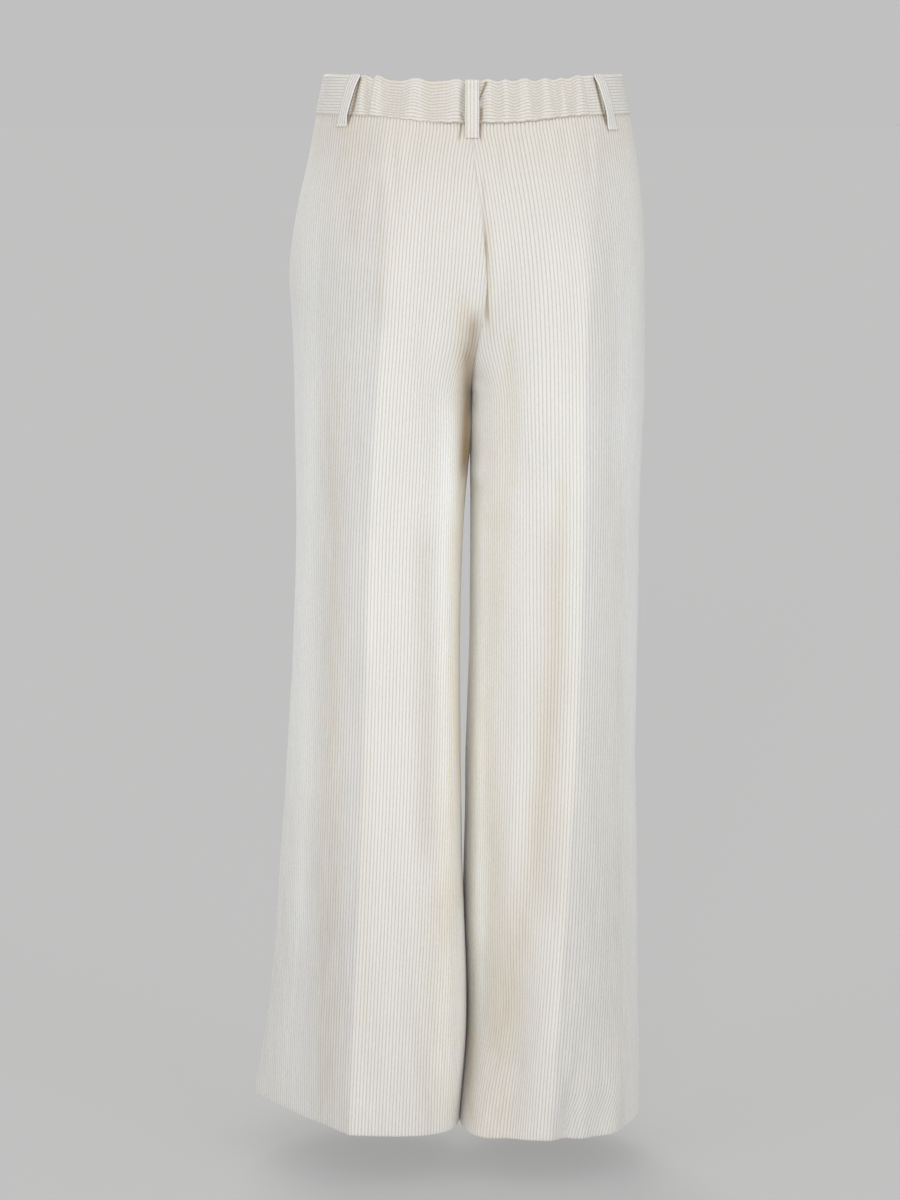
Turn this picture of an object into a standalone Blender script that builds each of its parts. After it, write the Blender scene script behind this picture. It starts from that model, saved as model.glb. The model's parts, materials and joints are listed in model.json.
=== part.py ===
"""Wide-leg corduroy trousers with an elastic back waist, hollow, in the form they keep when worn.

Metres, +Z up. +X is the wearer's left and the front faces -Y. The origin is the middle of the
waist, at half the height of the waistband, where a wearer holds the trousers up.
"""

import math

import bmesh
import bpy
import numpy as np
from mathutils import Vector
from mathutils.bvhtree import BVHTree

# Cloth and seams
CLOTH = 0.0020  # one layer of wide-wale corduroy
BAND_CLOTH = 0.0028  # the waistband: two layers and what is turned in
SEAM_GAP = 0.0003  # between pieces that are sewn to each other
HALF_GAP = SEAM_GAP / 2

# Waistband
BAND_HEIGHT = 0.0440
WAIST_SEAM = -BAND_HEIGHT / 2  # height of the seam under the band, at the sides
BACK_DIP = 0.0028  # how far the waist seam hangs lower at the centre back
FRONT_DIP = 0.021  # and at the centre front
TOP_DIP = 0.0032  # further dip of the top edge along the elastic part
BAND_PROUD = 0.0008  # the band stands out over the panels
BAND_LEAN = 0.055  # share by which the ring is smaller at the top edge
BAND_ROWS = 4
RING_FULLNESS = 2.2  # 2 is an ellipse, more is squarer

# Seat and crotch
CROTCH = -0.305
RISE_START = -0.150  # where the centre seams begin to curve under
RISE_DELAY = 3.0  # the more, the later they curve
RISE_LEVELNESS = 0.75  # how level they arrive at the crotch, where 0.5 is quite level and 1 isn't
SEAT_TOP = -0.060  # between these heights the sides and creases pass from the ring into the legs
SEAT_FOOT = -0.420
SEAT_SWAY = -0.015  # x of the centre back seam at the seat
SEAT_SWAY_HEIGHT = -0.190

# Sections down the body. out is the side seam, crease the pressed crease and in the inseam.
# These are x on each leg. back and front are how deep the creases stand from the middle.
SECTION_COLUMNS = (
    "z", "left_out", "left_crease", "left_in",
    "right_in", "right_crease", "right_out", "back", "front",
)
SECTIONS = (
    (-0.020, 0.1600, 0.0820, 0.0020, -0.0020, -0.1050, -0.1618, 0.0920, 0.0980),
    (-0.060, 0.1675, 0.0840, 0.0020, -0.0020, -0.1080, -0.1685, 0.1080, 0.1060),
    (-0.110, 0.1790, 0.0855, 0.0020, -0.0020, -0.1110, -0.1750, 0.1240, 0.1110),
    (-0.170, 0.1880, 0.0870, 0.0020, -0.0020, -0.1135, -0.1785, 0.1330, 0.1120),
    (-0.240, 0.1870, 0.0900, 0.0020, -0.0020, -0.1140, -0.1800, 0.1300, 0.1110),
    (-0.305, 0.1850, 0.0950, 0.0016, -0.0016, -0.1138, -0.1795, 0.1220, 0.1110),
    (-0.360, 0.1840, 0.0985, 0.0019, 0.0013, -0.1133, -0.1780, 0.1155, 0.1110),
    (-0.420, 0.1835, 0.1020, 0.0050, 0.0003, -0.1128, -0.1765, 0.1100, 0.1110),
    (-0.570, 0.1885, 0.1065, 0.0126, 0.0018, -0.1095, -0.1745, 0.1050, 0.1100),
    (-0.720, 0.1980, 0.1110, 0.0119, 0.0060, -0.1040, -0.1745, 0.1060, 0.1100),
    (-0.860, 0.2075, 0.1170, 0.0105, 0.0070, -0.0960, -0.1780, 0.1100, 0.1130),
    (-0.980, 0.2200, 0.1230, 0.0070, 0.0035, -0.0870, -0.1805, 0.1150, 0.1160),
    (-1.085, 0.2380, 0.1280, 0.0165, 0.0125, -0.0800, -0.1820, 0.1180, 0.1180),
)

# How full each quarter of a leg is: 1 is a flat slant from crease to seam, 2 an ellipse and
# 4 nearly square. inseam_y is how far behind the middle the left inseam stands, and how far
# in front of it the right one.
FULLNESS_COLUMNS = (
    "z", "left_outer", "left_inner", "right_inner",
    "right_outer", "front_outer", "front_inner", "inseam_y",
)
FULLNESS = (
    (-0.100, 1.80, 2.20, 2.20, 1.80, 1.80, 2.20, 0.000),
    (-0.305, 1.60, 2.20, 2.20, 1.70, 1.65, 2.10, 0.001),
    (-0.360, 1.55, 2.25, 2.15, 1.65, 1.65, 2.05, 0.013),
    (-0.420, 1.50, 2.30, 2.10, 1.60, 1.60, 2.00, 0.018),
    (-0.800, 1.35, 2.60, 1.90, 1.60, 1.55, 2.00, 0.022),
    (-1.000, 1.20, 2.90, 2.20, 1.80, 1.60, 2.00, 0.022),
    (-1.085, 1.02, 3.60, 4.00, 1.90, 1.60, 2.00, 0.022),
)

# Height of each hem at its inseam, its creases and its side seam
HEM_COLUMNS = ("leg", "inseam", "crease", "side")
HEMS = (
    ("left", -1.082, -1.0755, -1.067),
    ("right", -1.083, -1.081, -1.081),
)

# The largest soft folds: a line down a face, x and z at its ends, its half width and how far
# it stands out
FOLD_COLUMNS = ("leg", "face", "x_top", "z_top", "x_foot", "z_foot", "width", "out")
FOLDS = (
    ("right", "back", -0.103, -0.320, -0.050, -0.900, 0.016, -0.0050),
    ("right", "back", -0.086, -0.240, -0.080, -0.560, 0.012, 0.0030),
    ("right", "back", -0.112, -0.990, -0.090, -1.150, 0.010, -0.0075),
    ("right", "back", -0.058, -0.860, -0.008, -1.310, 0.020, -0.0110),
    ("right", "back", -0.156, -0.960, -0.132, -1.210, 0.014, 0.0080),
    ("right", "back", -0.034, -0.150, -0.036, -0.420, 0.014, -0.0040),
    ("left", "back", 0.046, -0.150, 0.030, -0.420, 0.016, -0.0040),
    ("left", "back", 0.058, -0.860, 0.034, -1.110, 0.018, -0.0040),
    ("left", "front", 0.060, -0.240, 0.050, -0.760, 0.018, -0.0045),
    ("left", "front", 0.150, -0.620, 0.160, -1.110, 0.018, -0.0050),
    ("right", "front", -0.066, -0.200, -0.052, -0.800, 0.018, -0.0045),
    ("right", "front", -0.140, -0.700, -0.130, -1.110, 0.016, -0.0060),
)

# Rows of each panel, closer together where the centre seams turn under
ROWS = (
    -0.020, -0.045, -0.075, -0.110, -0.150, -0.190, -0.225, -0.255, -0.278, -0.294, -0.305,
    -0.325, -0.355, -0.400, -0.450, -0.510, -0.580, -0.650, -0.720, -0.790, -0.860, -0.920,
    -0.975, -1.020, -1.055, -1.085,
)
QUARTER_CELLS = 6  # cells from a crease to a seam
TOP_FADE = 0.10  # over this height the rows level out under the waist seam
HEM_FADE = 0.22  # and above the hem
DENSE = 61  # points of a curve before it is divided evenly
LEG_MIDDLE = 0.09  # x of the middle of each leg

# Places go round the waist: 0 is the centre back, 1 the left side, 2 the centre front, and
# they are minus on the right
BACK_BAND_ENDS = (-0.690, 0.640)
BAND_END_GAP = 0.0010  # a seam gap, as a place
BACK_BAND_CELLS = 46
FRONT_BAND_CELLS = 15
NEAR_FRONT = 1.5  # places between here and the centre front are looked through by x
NEAR_FRONT_STEPS = 200
SHIRR_END = 0.52  # the elastic part of the back lies within this
SHIRR_FADE = 0.08
SHIRRS = 17  # bulges of the elastic part from end to end
SHIRR_OUT = 0.0015
SHIRR_OUT_AT_EDGES = 0.0006
DIP_START = 0.66  # the top edge dips between these places
DIP_FULL = 0.36

# Belt loops: the place of the tail, how far it reaches below the waist seam, and how far the
# head leans along the band
LOOP_COLUMNS = ("name", "place", "tail", "lean")
LOOPS = (
    ("belt_loop_back", 0.000, 0.0145, 0.0),
    ("belt_loop_side_left", 0.668, 0.0100, -0.0120),
    ("belt_loop_side_right", -0.720, 0.0120, 0.0120),
    ("belt_loop_front_left", 1.560, 0.0120, 0.0),
    ("belt_loop_front_right", -1.560, 0.0120, 0.0),
)
LOOP_WIDTH = 0.0140
LOOP_CLOTH = 0.0018
LOOP_HEAD = 0.0005  # the head stands this much over the band's top edge
LOOP_STAND = 0.0052  # how far a loop stands off between its ends
LOOP_TAIL_CLEAR = 0.0007  # inner face of the tail to the panel
# Stations of a loop from head to tail: up is a share of the band's height, or of the tail when
# minus, and stand a share of how far the loop stands off
LOOP_STATIONS = (
    (1.00, 0.00),
    (0.89, 0.12),
    (0.72, 0.95),
    (0.48, 1.10),
    (0.16, 1.00),
    (-0.30, 0.75),
    (-0.72, 0.14),
    (-1.00, 0.00),
)

# Fly and button
FLY_EDGE = 0.0040  # the placket ends just past the centre front
FLY_WIDTH = 0.0380
FLY_LENGTH = 0.1700
FLY_CLOTH = 0.0014
FLY_LIFT = 0.0008  # the placket and the zip lie this far off the fronts, which are faceted
FLY_TOP_CLEAR = 0.0012  # the placket starts this far under the band
FLY_ROWS = (0.0, 0.2, 0.4, 0.6, 0.74, 0.84, 0.91, 0.96, 0.99)  # shares of its length
FLY_BEND = 0.72  # below this share of its length the placket curves in to its foot
FLY_TIP = 0.06  # share of its width that is left at the foot
FLY_POINTS = 8
UNDERLAP_START = 0.0160  # x where the left band begins to step in behind the right one
# x of the rest of the left band's columns, and the share of a full step in
UNDERLAP_STEPS = ((0.0100, 0.30), (0.0050, 1.0), (-0.0100, 1.0), (-0.0300, 1.0))
ZIP_WIDTH = 0.0260
ZIP_CLOTH = 0.0012
ZIP_INSET = 0.0060  # the zip ends this far inside the placket's ends
ZIP_ROWS = 11
ZIP_POINTS = 5
SLIDER = (0.0090, 0.0020, 0.0130)  # width, thickness and height
SLIDER_FOOT = 0.6  # the slider narrows to this share
SLIDER_DOWN = 0.0200  # from the top of the placket to the slider's middle
BUTTON_X = -0.0110
BUTTON_RADIUS = 0.0085
BUTTON_THICK = 0.0028
BUTTON_DISH = 0.0067  # radius of the hollow in the button's face
BUTTON_STAND = 0.0006
BUTTON_HOLE = 0.0009
BUTTON_HOLE_AT = 0.0019
BUTTON_SIDES = 28
HOLE_SIDES = 8

CREAM = (0.78, 0.745, 0.665, 1.0)
CREAM_BAND = (0.77, 0.735, 0.655, 1.0)
HORN = (0.62, 0.56, 0.45, 1.0)
TAPE = (0.70, 0.67, 0.60, 1.0)
NICKEL = (0.62, 0.61, 0.58, 1.0)
SHARP_EDGE = math.radians(45)

LEFT_IS_PLUS_X = {"left": 1.0, "right": -1.0}
BACK_IS_PLUS_Y = {"back": 1.0, "front": -1.0}


def clear_scene():
    for old in list(bpy.data.objects):
        bpy.data.objects.remove(old, do_unlink=True)


def finish_of(name, colour, roughness, metallic=0.0):
    material = bpy.data.materials.new(name)
    material.use_nodes = True
    shader = material.node_tree.nodes["Principled BSDF"]
    shader.inputs["Base Color"].default_value = colour
    shader.inputs["Roughness"].default_value = roughness
    shader.inputs["Metallic"].default_value = metallic
    material.diffuse_color = colour
    return material


# Tables


def table(columns, rows):
    return {name: np.array([row[i] for row in rows]) for i, name in enumerate(columns)}


SECTION = table(SECTION_COLUMNS, SECTIONS)
SHAPE = table(FULLNESS_COLUMNS, FULLNESS)


def down(heights, column, z):
    """A column of a table at height z, on a smooth curve through its rows."""
    slopes = np.gradient(column, heights)
    z = min(max(z, heights[-1]), heights[0])
    i = min(int(np.searchsorted(-heights, -z, side="right")) - 1, len(heights) - 2)
    span = heights[i + 1] - heights[i]
    f = (z - heights[i]) / span
    value = (1 - f) ** 2 * (1 + 2 * f) * column[i] + f**2 * (3 - 2 * f) * column[i + 1]
    return value + span * (f * (1 - f) ** 2 * slopes[i] - f**2 * (1 - f) * slopes[i + 1])


def section_value(name, z):
    return down(SECTION["z"], SECTION[name], z)


def shape_value(name, z):
    return down(SHAPE["z"], SHAPE[name], z)


def smoothstep(low, high, value):
    f = min(max((value - low) / (high - low), 0.0), 1.0)
    return f * f * (3 - 2 * f)


def unit(vectors):
    return vectors / np.linalg.norm(vectors, axis=-1, keepdims=True)


# Sections


def lengths_along(points):
    steps = np.linalg.norm(np.diff(points, axis=0), axis=1)
    return np.concatenate([[0.0], np.cumsum(steps)])


def at_lengths(points, wanted):
    """The points of a curve at the wanted distances along it."""
    along = lengths_along(points)
    return np.column_stack([np.interp(wanted, along, points[:, k]) for k in range(2)])


def evenly(points, cells):
    """The same curve with its points at equal distances."""
    return at_lengths(points, np.linspace(0.0, lengths_along(points)[-1], cells + 1))


def quarter(start, end, fullness):
    """A quarter of a superellipse: level at start, upright at end."""
    angle = np.linspace(0.0, math.pi / 2, DENSE)
    across = np.sin(angle) ** (2 / fullness)
    up = np.abs(np.cos(angle)) ** (2 / fullness)
    x = start[0] + (end[0] - start[0]) * across
    y = end[1] + (start[1] - end[1]) * up
    return np.column_stack([x, y])


def centre_x(face, z):
    """x of the centre seam: the back one sways a little to the right at the seat."""
    if face == "front":
        return 0.0
    down_to_seat = smoothstep(WAIST_SEAM, SEAT_SWAY_HEIGHT, z)
    back_again = smoothstep(SEAT_SWAY_HEIGHT, CROTCH, z)
    return SEAT_SWAY * (down_to_seat - back_again)


def ring_half(leg, face, z, cells):
    """From the centre seam to the side seam round the body, divided at the crease."""
    out = section_value(leg + "_out", z)
    depth = BACK_IS_PLUS_Y[face] * section_value(face, z)
    start = centre_x(face, z) + LEFT_IS_PLUS_X[leg] * HALF_GAP
    curve = quarter((start, depth), (out, 0.0), RING_FULLNESS)
    along = lengths_along(curve)
    crease = section_value(leg + "_crease", z)
    to_crease = np.interp(abs(crease), LEFT_IS_PLUS_X[leg] * curve[:, 0], along)
    inner = np.linspace(0.0, to_crease, cells + 1)
    outer = np.linspace(to_crease, along[-1], cells + 1)
    return at_lengths(curve, np.concatenate([inner, outer[1:]]))


def leg_half(leg, face, z, cells):
    """From the inseam over the crease to the side seam of one leg."""
    depth = BACK_IS_PLUS_Y[face] * section_value(face, z)
    crease = (section_value(leg + "_crease", z), depth)
    inseam = (section_value(leg + "_in", z), LEFT_IS_PLUS_X[leg] * shape_value("inseam_y", z))
    side = (section_value(leg + "_out", z), 0.0)
    part = "front" if face == "front" else leg
    inner = evenly(quarter(crease, inseam, shape_value(part + "_inner", z)), cells)[::-1]
    outer = evenly(quarter(crease, side, shape_value(part + "_outer", z)), cells)
    return np.concatenate([inner, outer[1:]])


def leg_share(z, place):
    """0 where the section is one ring round the body, 1 where it is a leg of its own.

    place runs from the centre seam, 0, which turns under steeply, to the side seam, 1.
    """
    fallen = min(max((RISE_START - z) / (RISE_START - CROTCH), 0.0), 1.0)
    at_centre = 1 - (1 - fallen**RISE_DELAY) ** RISE_LEVELNESS
    at_crease = smoothstep(SEAT_TOP, SEAT_FOOT, z)
    return at_centre + (at_crease - at_centre) * smoothstep(0.0, 0.5, place)


def half_section(leg, face, z):
    """x, y along one panel at height z, from its centre seam or inseam to its side seam."""
    places = np.linspace(0.0, 1.0, 2 * QUARTER_CELLS + 1)
    share = np.array([leg_share(z, place) for place in places])[:, None]
    ring = ring_half(leg, face, z, QUARTER_CELLS)
    return (1 - share) * ring + share * leg_half(leg, face, z, QUARTER_CELLS)


# Walls


def make_object(name, verts, faces, material):
    mesh = bpy.data.meshes.new(name)
    mesh.from_pydata([tuple(v) for v in verts], [], [tuple(f) for f in faces])
    work = bmesh.new()
    work.from_mesh(mesh)
    bmesh.ops.triangulate(work, faces=work.faces[:])
    bmesh.ops.recalc_face_normals(work, faces=work.faces[:])
    work.to_mesh(mesh)
    work.free()
    mesh.materials.append(material)
    mesh.shade_smooth()
    mesh.set_sharp_from_angle(angle=SHARP_EDGE)
    made = bpy.data.objects.new(name, mesh)
    bpy.context.scene.collection.objects.link(made)
    return made


def grid_quads(rows, columns, start):
    index = start + np.arange(rows * columns).reshape(rows, columns)
    corners = (index[:-1, :-1], index[:-1, 1:], index[1:, 1:], index[1:, :-1])
    return np.stack([c.ravel() for c in corners], axis=1).tolist()


def make_wall(name, outer, inner, material):
    """A closed wall between two grids of points, joined round the rim."""
    rows, columns = outer.shape[:2]
    count = rows * columns
    faces = grid_quads(rows, columns, 0) + grid_quads(rows, columns, count)
    index = np.arange(count).reshape(rows, columns)
    rim = list(index[0, :]) + list(index[1:, -1])
    rim += list(index[-1, -2::-1]) + list(index[-2:0:-1, 0])
    for a, b in zip(rim, rim[1:] + rim[:1]):
        faces.append([a, b, b + count, a + count])
    verts = np.concatenate([outer.reshape(-1, 3), inner.reshape(-1, 3)])
    return make_object(name, verts, faces, material)


# Panels


def waist_dip(face, share):
    """How far the waist seam hangs, at a share of the way from the centre to the side seam."""
    dip = BACK_DIP if face == "back" else FRONT_DIP
    return dip * (1 - smoothstep(0.0, 1.0, share))


def hem_height(leg, place):
    _, inseam, crease, side = next(row for row in HEMS if row[0] == leg)
    return float(np.interp(place, [0.0, 0.5, 1.0], [inseam, crease, side]))


def row_height(leg, z, place, dip):
    """Height of a row at a place between the inner edge, 0, and the side seam, 1."""
    top = smoothstep(ROWS[0] - TOP_FADE, ROWS[0], z)
    foot = smoothstep(ROWS[-1] + HEM_FADE, ROWS[-1], z)
    to_waist = WAIST_SEAM - HALF_GAP - ROWS[0] - dip
    return z + top * to_waist + foot * (hem_height(leg, place) - ROWS[-1])


def fold_out(leg, face, x, z):
    """How far the soft folds move the cloth out at x, z."""
    total = 0.0
    for row in FOLDS:
        fold = dict(zip(FOLD_COLUMNS, row))
        share = (z - fold["z_top"]) / (fold["z_foot"] - fold["z_top"])
        if (fold["leg"], fold["face"]) != (leg, face) or not 0.0 < share < 1.0:
            continue
        line = fold["x_top"] + share * (fold["x_foot"] - fold["x_top"])
        across = math.exp(-(((x - line) / fold["width"]) ** 2))
        total += fold["out"] * math.sin(share * math.pi) * across
    return total


def grid_normals(grid, outward):
    """Unit normals of a grid of points, turned to the side of outward."""
    along = np.gradient(grid, axis=0)
    across = np.gradient(grid, axis=1)
    normals = unit(np.cross(along, across))
    flip = np.sign(np.sum(normals * outward, axis=-1, keepdims=True))
    return normals * flip


def face_grid(leg, face):
    """Outer points of one panel: rows down, columns from the inner edge to the side seam."""
    count = 2 * QUARTER_CELLS + 1
    grid = np.zeros((len(ROWS), count, 3))
    round_waist = lengths_along(ring_half(leg, face, WAIST_SEAM, QUARTER_CELLS))
    dips = [waist_dip(face, share) for share in round_waist / round_waist[-1]]
    for i, z in enumerate(ROWS):
        for j in range(count):
            height = row_height(leg, z, j / (count - 1), dips[j])
            grid[i, j, :2] = half_section(leg, face, height)[j]
            grid[i, j, 2] = height
    return grid


def away_from_leg(leg, grid):
    """The level way out from the middle of the leg at each point, to tell a normal's side."""
    outward = grid - np.array([LEFT_IS_PLUS_X[leg] * LEG_MIDDLE, 0.0, 0.0])
    outward[:, :, 2] = 0.0
    return outward


def leg_normals(leg, back, front):
    """Normals of both panels, equal where the panels meet at the side seam and the inseam."""
    normals = [grid_normals(grid, away_from_leg(leg, grid)) for grid in (back, front)]
    side = unit(normals[0][:, -1] + normals[1][:, -1])
    legs_start = ROWS.index(CROTCH)
    inseam = unit(normals[0][legs_start:, 0] + normals[1][legs_start:, 0])
    for one in normals:
        one[:, -1] = side
        one[legs_start:, 0] = inseam
        one[:legs_start, 0, 0] = 0.0
        one[:legs_start, 0] = unit(one[:legs_start, 0])
    return normals


def with_seam_gaps(grid):
    """The side edge and the inseam drawn back by half a seam gap."""
    grid = grid.copy()
    grid[:, -1] += HALF_GAP * unit(grid[:, -2] - grid[:, -1])
    legs_start = ROWS.index(CROTCH)
    grid[legs_start:, 0] += HALF_GAP * unit(grid[legs_start:, 1] - grid[legs_start:, 0])
    return grid


def make_leg(leg, material):
    """The back and front panels of one leg. Returns the front, for what lies on it."""
    back, front = face_grid(leg, "back"), face_grid(leg, "front")
    normals = leg_normals(leg, back, front)
    made = {}
    for face, grid, out in (("back", back, normals[0]), ("front", front, normals[1])):
        folds = np.array([[fold_out(leg, face, p[0], p[2]) for p in row] for row in grid])
        outer = with_seam_gaps(grid + folds[..., None] * out)
        made[face] = make_wall(f"{face}_{leg}", outer, outer - CLOTH * out, material)
    return made["front"]


# Waistband


def panel_at(place):
    """The leg and face of the panel at a place, and the share of the way to its side seam."""
    leg = "left" if place >= 0 else "right"
    if abs(place) <= 1:
        return leg, "back", abs(place)
    return leg, "front", max(0.0, 2 - abs(place))


def ring_place(place, z):
    """x, y of the ring at a place and a height."""
    leg, face, to_side = panel_at(place)
    out = section_value(leg + "_out", z)
    depth = BACK_IS_PLUS_Y[face] * section_value(face, z)
    curve = evenly(quarter((0.0, depth), (out, 0.0), RING_FULLNESS), DENSE - 1)
    at = to_side * (DENSE - 1)
    return np.array([np.interp(at, np.arange(DENSE), curve[:, k]) for k in range(2)])


def band_frame(place):
    """Foot and top of the band's outer face at a place, and the way out."""
    step = 0.5 / DENSE
    _, face, to_side = panel_at(place)
    foot_z = WAIST_SEAM - waist_dip(face, to_side) + HALF_GAP
    here = ring_place(place, foot_z)
    ahead = ring_place(place + step, foot_z) - ring_place(place - step, foot_z)
    out = unit(np.array([ahead[1], -ahead[0], 0.0]))
    out *= np.sign(out[:2] @ here)
    foot = np.array([here[0], here[1], foot_z]) + BAND_PROUD * out
    top_xy = here * (1 - BAND_LEAN)
    top_z = foot_z + BAND_HEIGHT - TOP_DIP * smoothstep(DIP_START, DIP_FULL, abs(place))
    top = np.array([top_xy[0], top_xy[1], top_z]) + BAND_PROUD * out
    return foot, top, out


def shirr(place):
    """The elastic back gathers the band into upright bulges: 0 between them and 1 on them."""
    inside = smoothstep(SHIRR_END, SHIRR_END - SHIRR_FADE, abs(place))
    return inside * math.sin(place / SHIRR_END * SHIRRS * math.pi / 2) ** 2


def make_band(name, frames, edge_moves, middle_moves, material):
    """A stretch of the band from its frames, moved out at its edges and between them."""
    grid = np.zeros((BAND_ROWS, len(frames), 3))
    outs = np.zeros_like(grid)
    for j, (foot, top, out) in enumerate(frames):
        for i in range(BAND_ROWS):
            move = edge_moves[j] if i in (0, BAND_ROWS - 1) else middle_moves[j]
            grid[i, j] = foot + i / (BAND_ROWS - 1) * (top - foot) + move * out
            outs[i, j] = out
    make_wall(name, grid, grid - BAND_CLOTH * outs, material)


def front_place(x):
    """Place on the front of the ring at a small x, other than 0."""
    side = math.copysign(1.0, x)
    tries = np.linspace(NEAR_FRONT, 2.0, NEAR_FRONT_STEPS + 1)
    reached = np.array([ring_place(side * place, WAIST_SEAM)[0] for place in tries])
    return side * float(tries[int(np.argmin(np.abs(reached - x)))])


def make_back_band(material):
    low, high = BACK_BAND_ENDS
    places = np.linspace(low + BAND_END_GAP, high - BAND_END_GAP, BACK_BAND_CELLS + 1)
    bulges = np.array([shirr(place) for place in places])
    frames = [band_frame(place) for place in places]
    moves = (bulges * SHIRR_OUT_AT_EDGES, bulges * SHIRR_OUT)
    make_band("waistband_back", frames, *moves, material)


def make_right_front_band(material):
    """The right front band runs on over the centre front, to the edge of the fly."""
    start = BACK_BAND_ENDS[0] - BAND_END_GAP
    places = np.linspace(start, front_place(-FLY_EDGE), FRONT_BAND_CELLS + 1)
    frames = [band_frame(place) for place in (*places, 2.0, front_place(FLY_EDGE))]
    level = [0.0] * len(frames)
    make_band("waistband_front_right", frames, level, level, material)


def make_left_front_band(material):
    """The left front band steps in behind the right one and ends beyond the button."""
    start = BACK_BAND_ENDS[1] + BAND_END_GAP
    places = list(np.linspace(start, front_place(UNDERLAP_START), FRONT_BAND_CELLS))
    moves = [0.0] * len(places)
    for x, share in UNDERLAP_STEPS:
        places.append(front_place(x))
        moves.append(-share * (BAND_CLOTH + SEAM_GAP))
    frames = [band_frame(place) for place in places]
    make_band("waistband_front_left", frames, moves, moves, material)


# Belt loops


def panel_out(place, height):
    """How far the panel stands out from the band's foot, at a height below it."""
    foot, _, out = band_frame(place)
    return float((ring_place(place, foot[2] + height) - foot[:2]) @ out[:2])


def loop_path(place, tail):
    """The loop's inner face from head to tail: distance out, and height over the band's foot."""
    foot, top, out = band_frame(place)
    head = top[2] - foot[2] + LOOP_HEAD
    lean = float((top - foot) @ out)
    clear = SEAM_GAP + SHIRR_OUT * (abs(place) < SHIRR_END)
    path = []
    for up, stand in LOOP_STATIONS:
        if up > 0:
            height = up * head
            behind = lean * up + clear
        else:
            height = up * tail
            behind = panel_out(place, height) + LOOP_TAIL_CLEAR
        path.append((behind + stand * LOOP_STAND, height))
    return np.array(path)


def make_loop(loop, material):
    place, tail, lean = loop["place"], loop["tail"], loop["lean"]
    foot, _, out = band_frame(place)
    onward = unit(np.array([out[1], -out[0], 0.0]))
    path = loop_path(place, tail)
    along = unit(np.gradient(path, axis=0))
    away = np.column_stack([-along[:, 1], along[:, 0]])
    away *= np.sign(away[:, :1])
    rise = (path[:, 1] + tail) / (path[0, 1] + tail)
    grids = []
    for line in (path + LOOP_CLOTH * away, path):
        points = []
        for (distance, height), share in zip(line, rise):
            middle = foot + distance * out + share * lean * onward
            middle[2] += height
            points.append([middle - LOOP_WIDTH / 2 * onward, middle + LOOP_WIDTH / 2 * onward])
        grids.append(np.array(points))
    make_wall(loop["name"], grids[0], grids[1], material)


# Fly and button


def tree_of(made):
    work = bmesh.new()
    work.from_mesh(made.data)
    tree = BVHTree.FromBMesh(work)
    work.free()
    return tree


def front_surface(trees, x, z):
    """Point and way out on the outer face of the fronts at x, z."""
    beside_seam = math.copysign(max(abs(x), 2 * SEAM_GAP), x)
    tree = trees["left" if beside_seam > 0 else "right"]
    point, out, _, _ = tree.ray_cast(Vector((beside_seam, -1.0, z)), Vector((0.0, 1.0, 0.0)))
    return np.array((x, point.y, z)), np.array(out)


def make_strip(name, trees, heights, columns, lift, thick, material):
    """A strip along the fronts: its xs at each height, moved out by lift."""
    outer, inner = [], []
    for z, xs in zip(heights, columns):
        points = [front_surface(trees, x, z) for x in xs]
        outer.append([p + (lift + thick) * n for p, n in points])
        inner.append([p + lift * n for p, n in points])
    make_wall(name, np.array(outer), np.array(inner), material)


def placket_width(share):
    """Width of the placket at a share of its length: it curves in to its foot."""
    past_bend = max(0.0, (share - FLY_BEND) / (1 - FLY_BEND))
    drawn_in = 1 - math.sqrt(1 - past_bend**2)
    return FLY_WIDTH * (1 - drawn_in * (1 - FLY_TIP))


def make_fly(trees, cloth, tape, metal):
    """The placket over the closed zip, with the zip and its slider on the inside."""
    top = WAIST_SEAM - FRONT_DIP - FLY_TOP_CLEAR
    heights = [top - FLY_LENGTH * share for share in FLY_ROWS]
    ends = [FLY_EDGE - placket_width(share) for share in FLY_ROWS]
    columns = [np.linspace(FLY_EDGE, end, FLY_POINTS) for end in ends]
    make_strip("fly_placket", trees, heights, columns, FLY_LIFT, FLY_CLOTH, cloth)
    heights = np.linspace(top - ZIP_INSET, top - FLY_LENGTH + ZIP_INSET, ZIP_ROWS)
    columns = [np.linspace(-ZIP_WIDTH / 2, ZIP_WIDTH / 2, ZIP_POINTS)] * ZIP_ROWS
    inside = -(CLOTH + FLY_LIFT + ZIP_CLOTH)
    make_strip("fly_zip", trees, heights, columns, inside, ZIP_CLOTH, tape)
    width, thick, tall = SLIDER
    middle = top - SLIDER_DOWN
    heights = (middle + tall / 2, middle, middle - tall / 2)
    widths = (width, width, width * SLIDER_FOOT)
    columns = [np.linspace(-w / 2, w / 2, 3) for w in widths]
    make_strip("zip_slider", trees, heights, columns, inside - FLY_LIFT - thick, thick, metal)


def add_cylinder(name, radius, depth, sides):
    mesh = bpy.data.meshes.new(name)
    work = bmesh.new()
    bmesh.ops.create_cone(
        work, cap_ends=True, segments=sides, radius1=radius, radius2=radius, depth=depth
    )
    work.to_mesh(mesh)
    work.free()
    made = bpy.data.objects.new(name, mesh)
    bpy.context.scene.collection.objects.link(made)
    return made


def cut_out(parent, name, radius, depth, sides, location):
    cutter = add_cylinder(name, radius, depth, sides)
    cutter.parent = parent
    cutter.location = location
    cutter.hide_render = True
    cutter.display_type = "WIRE"
    cut = parent.modifiers.new(name, "BOOLEAN")
    cut.operation = "DIFFERENCE"
    cut.solver = "EXACT"
    cut.object = cutter


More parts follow.
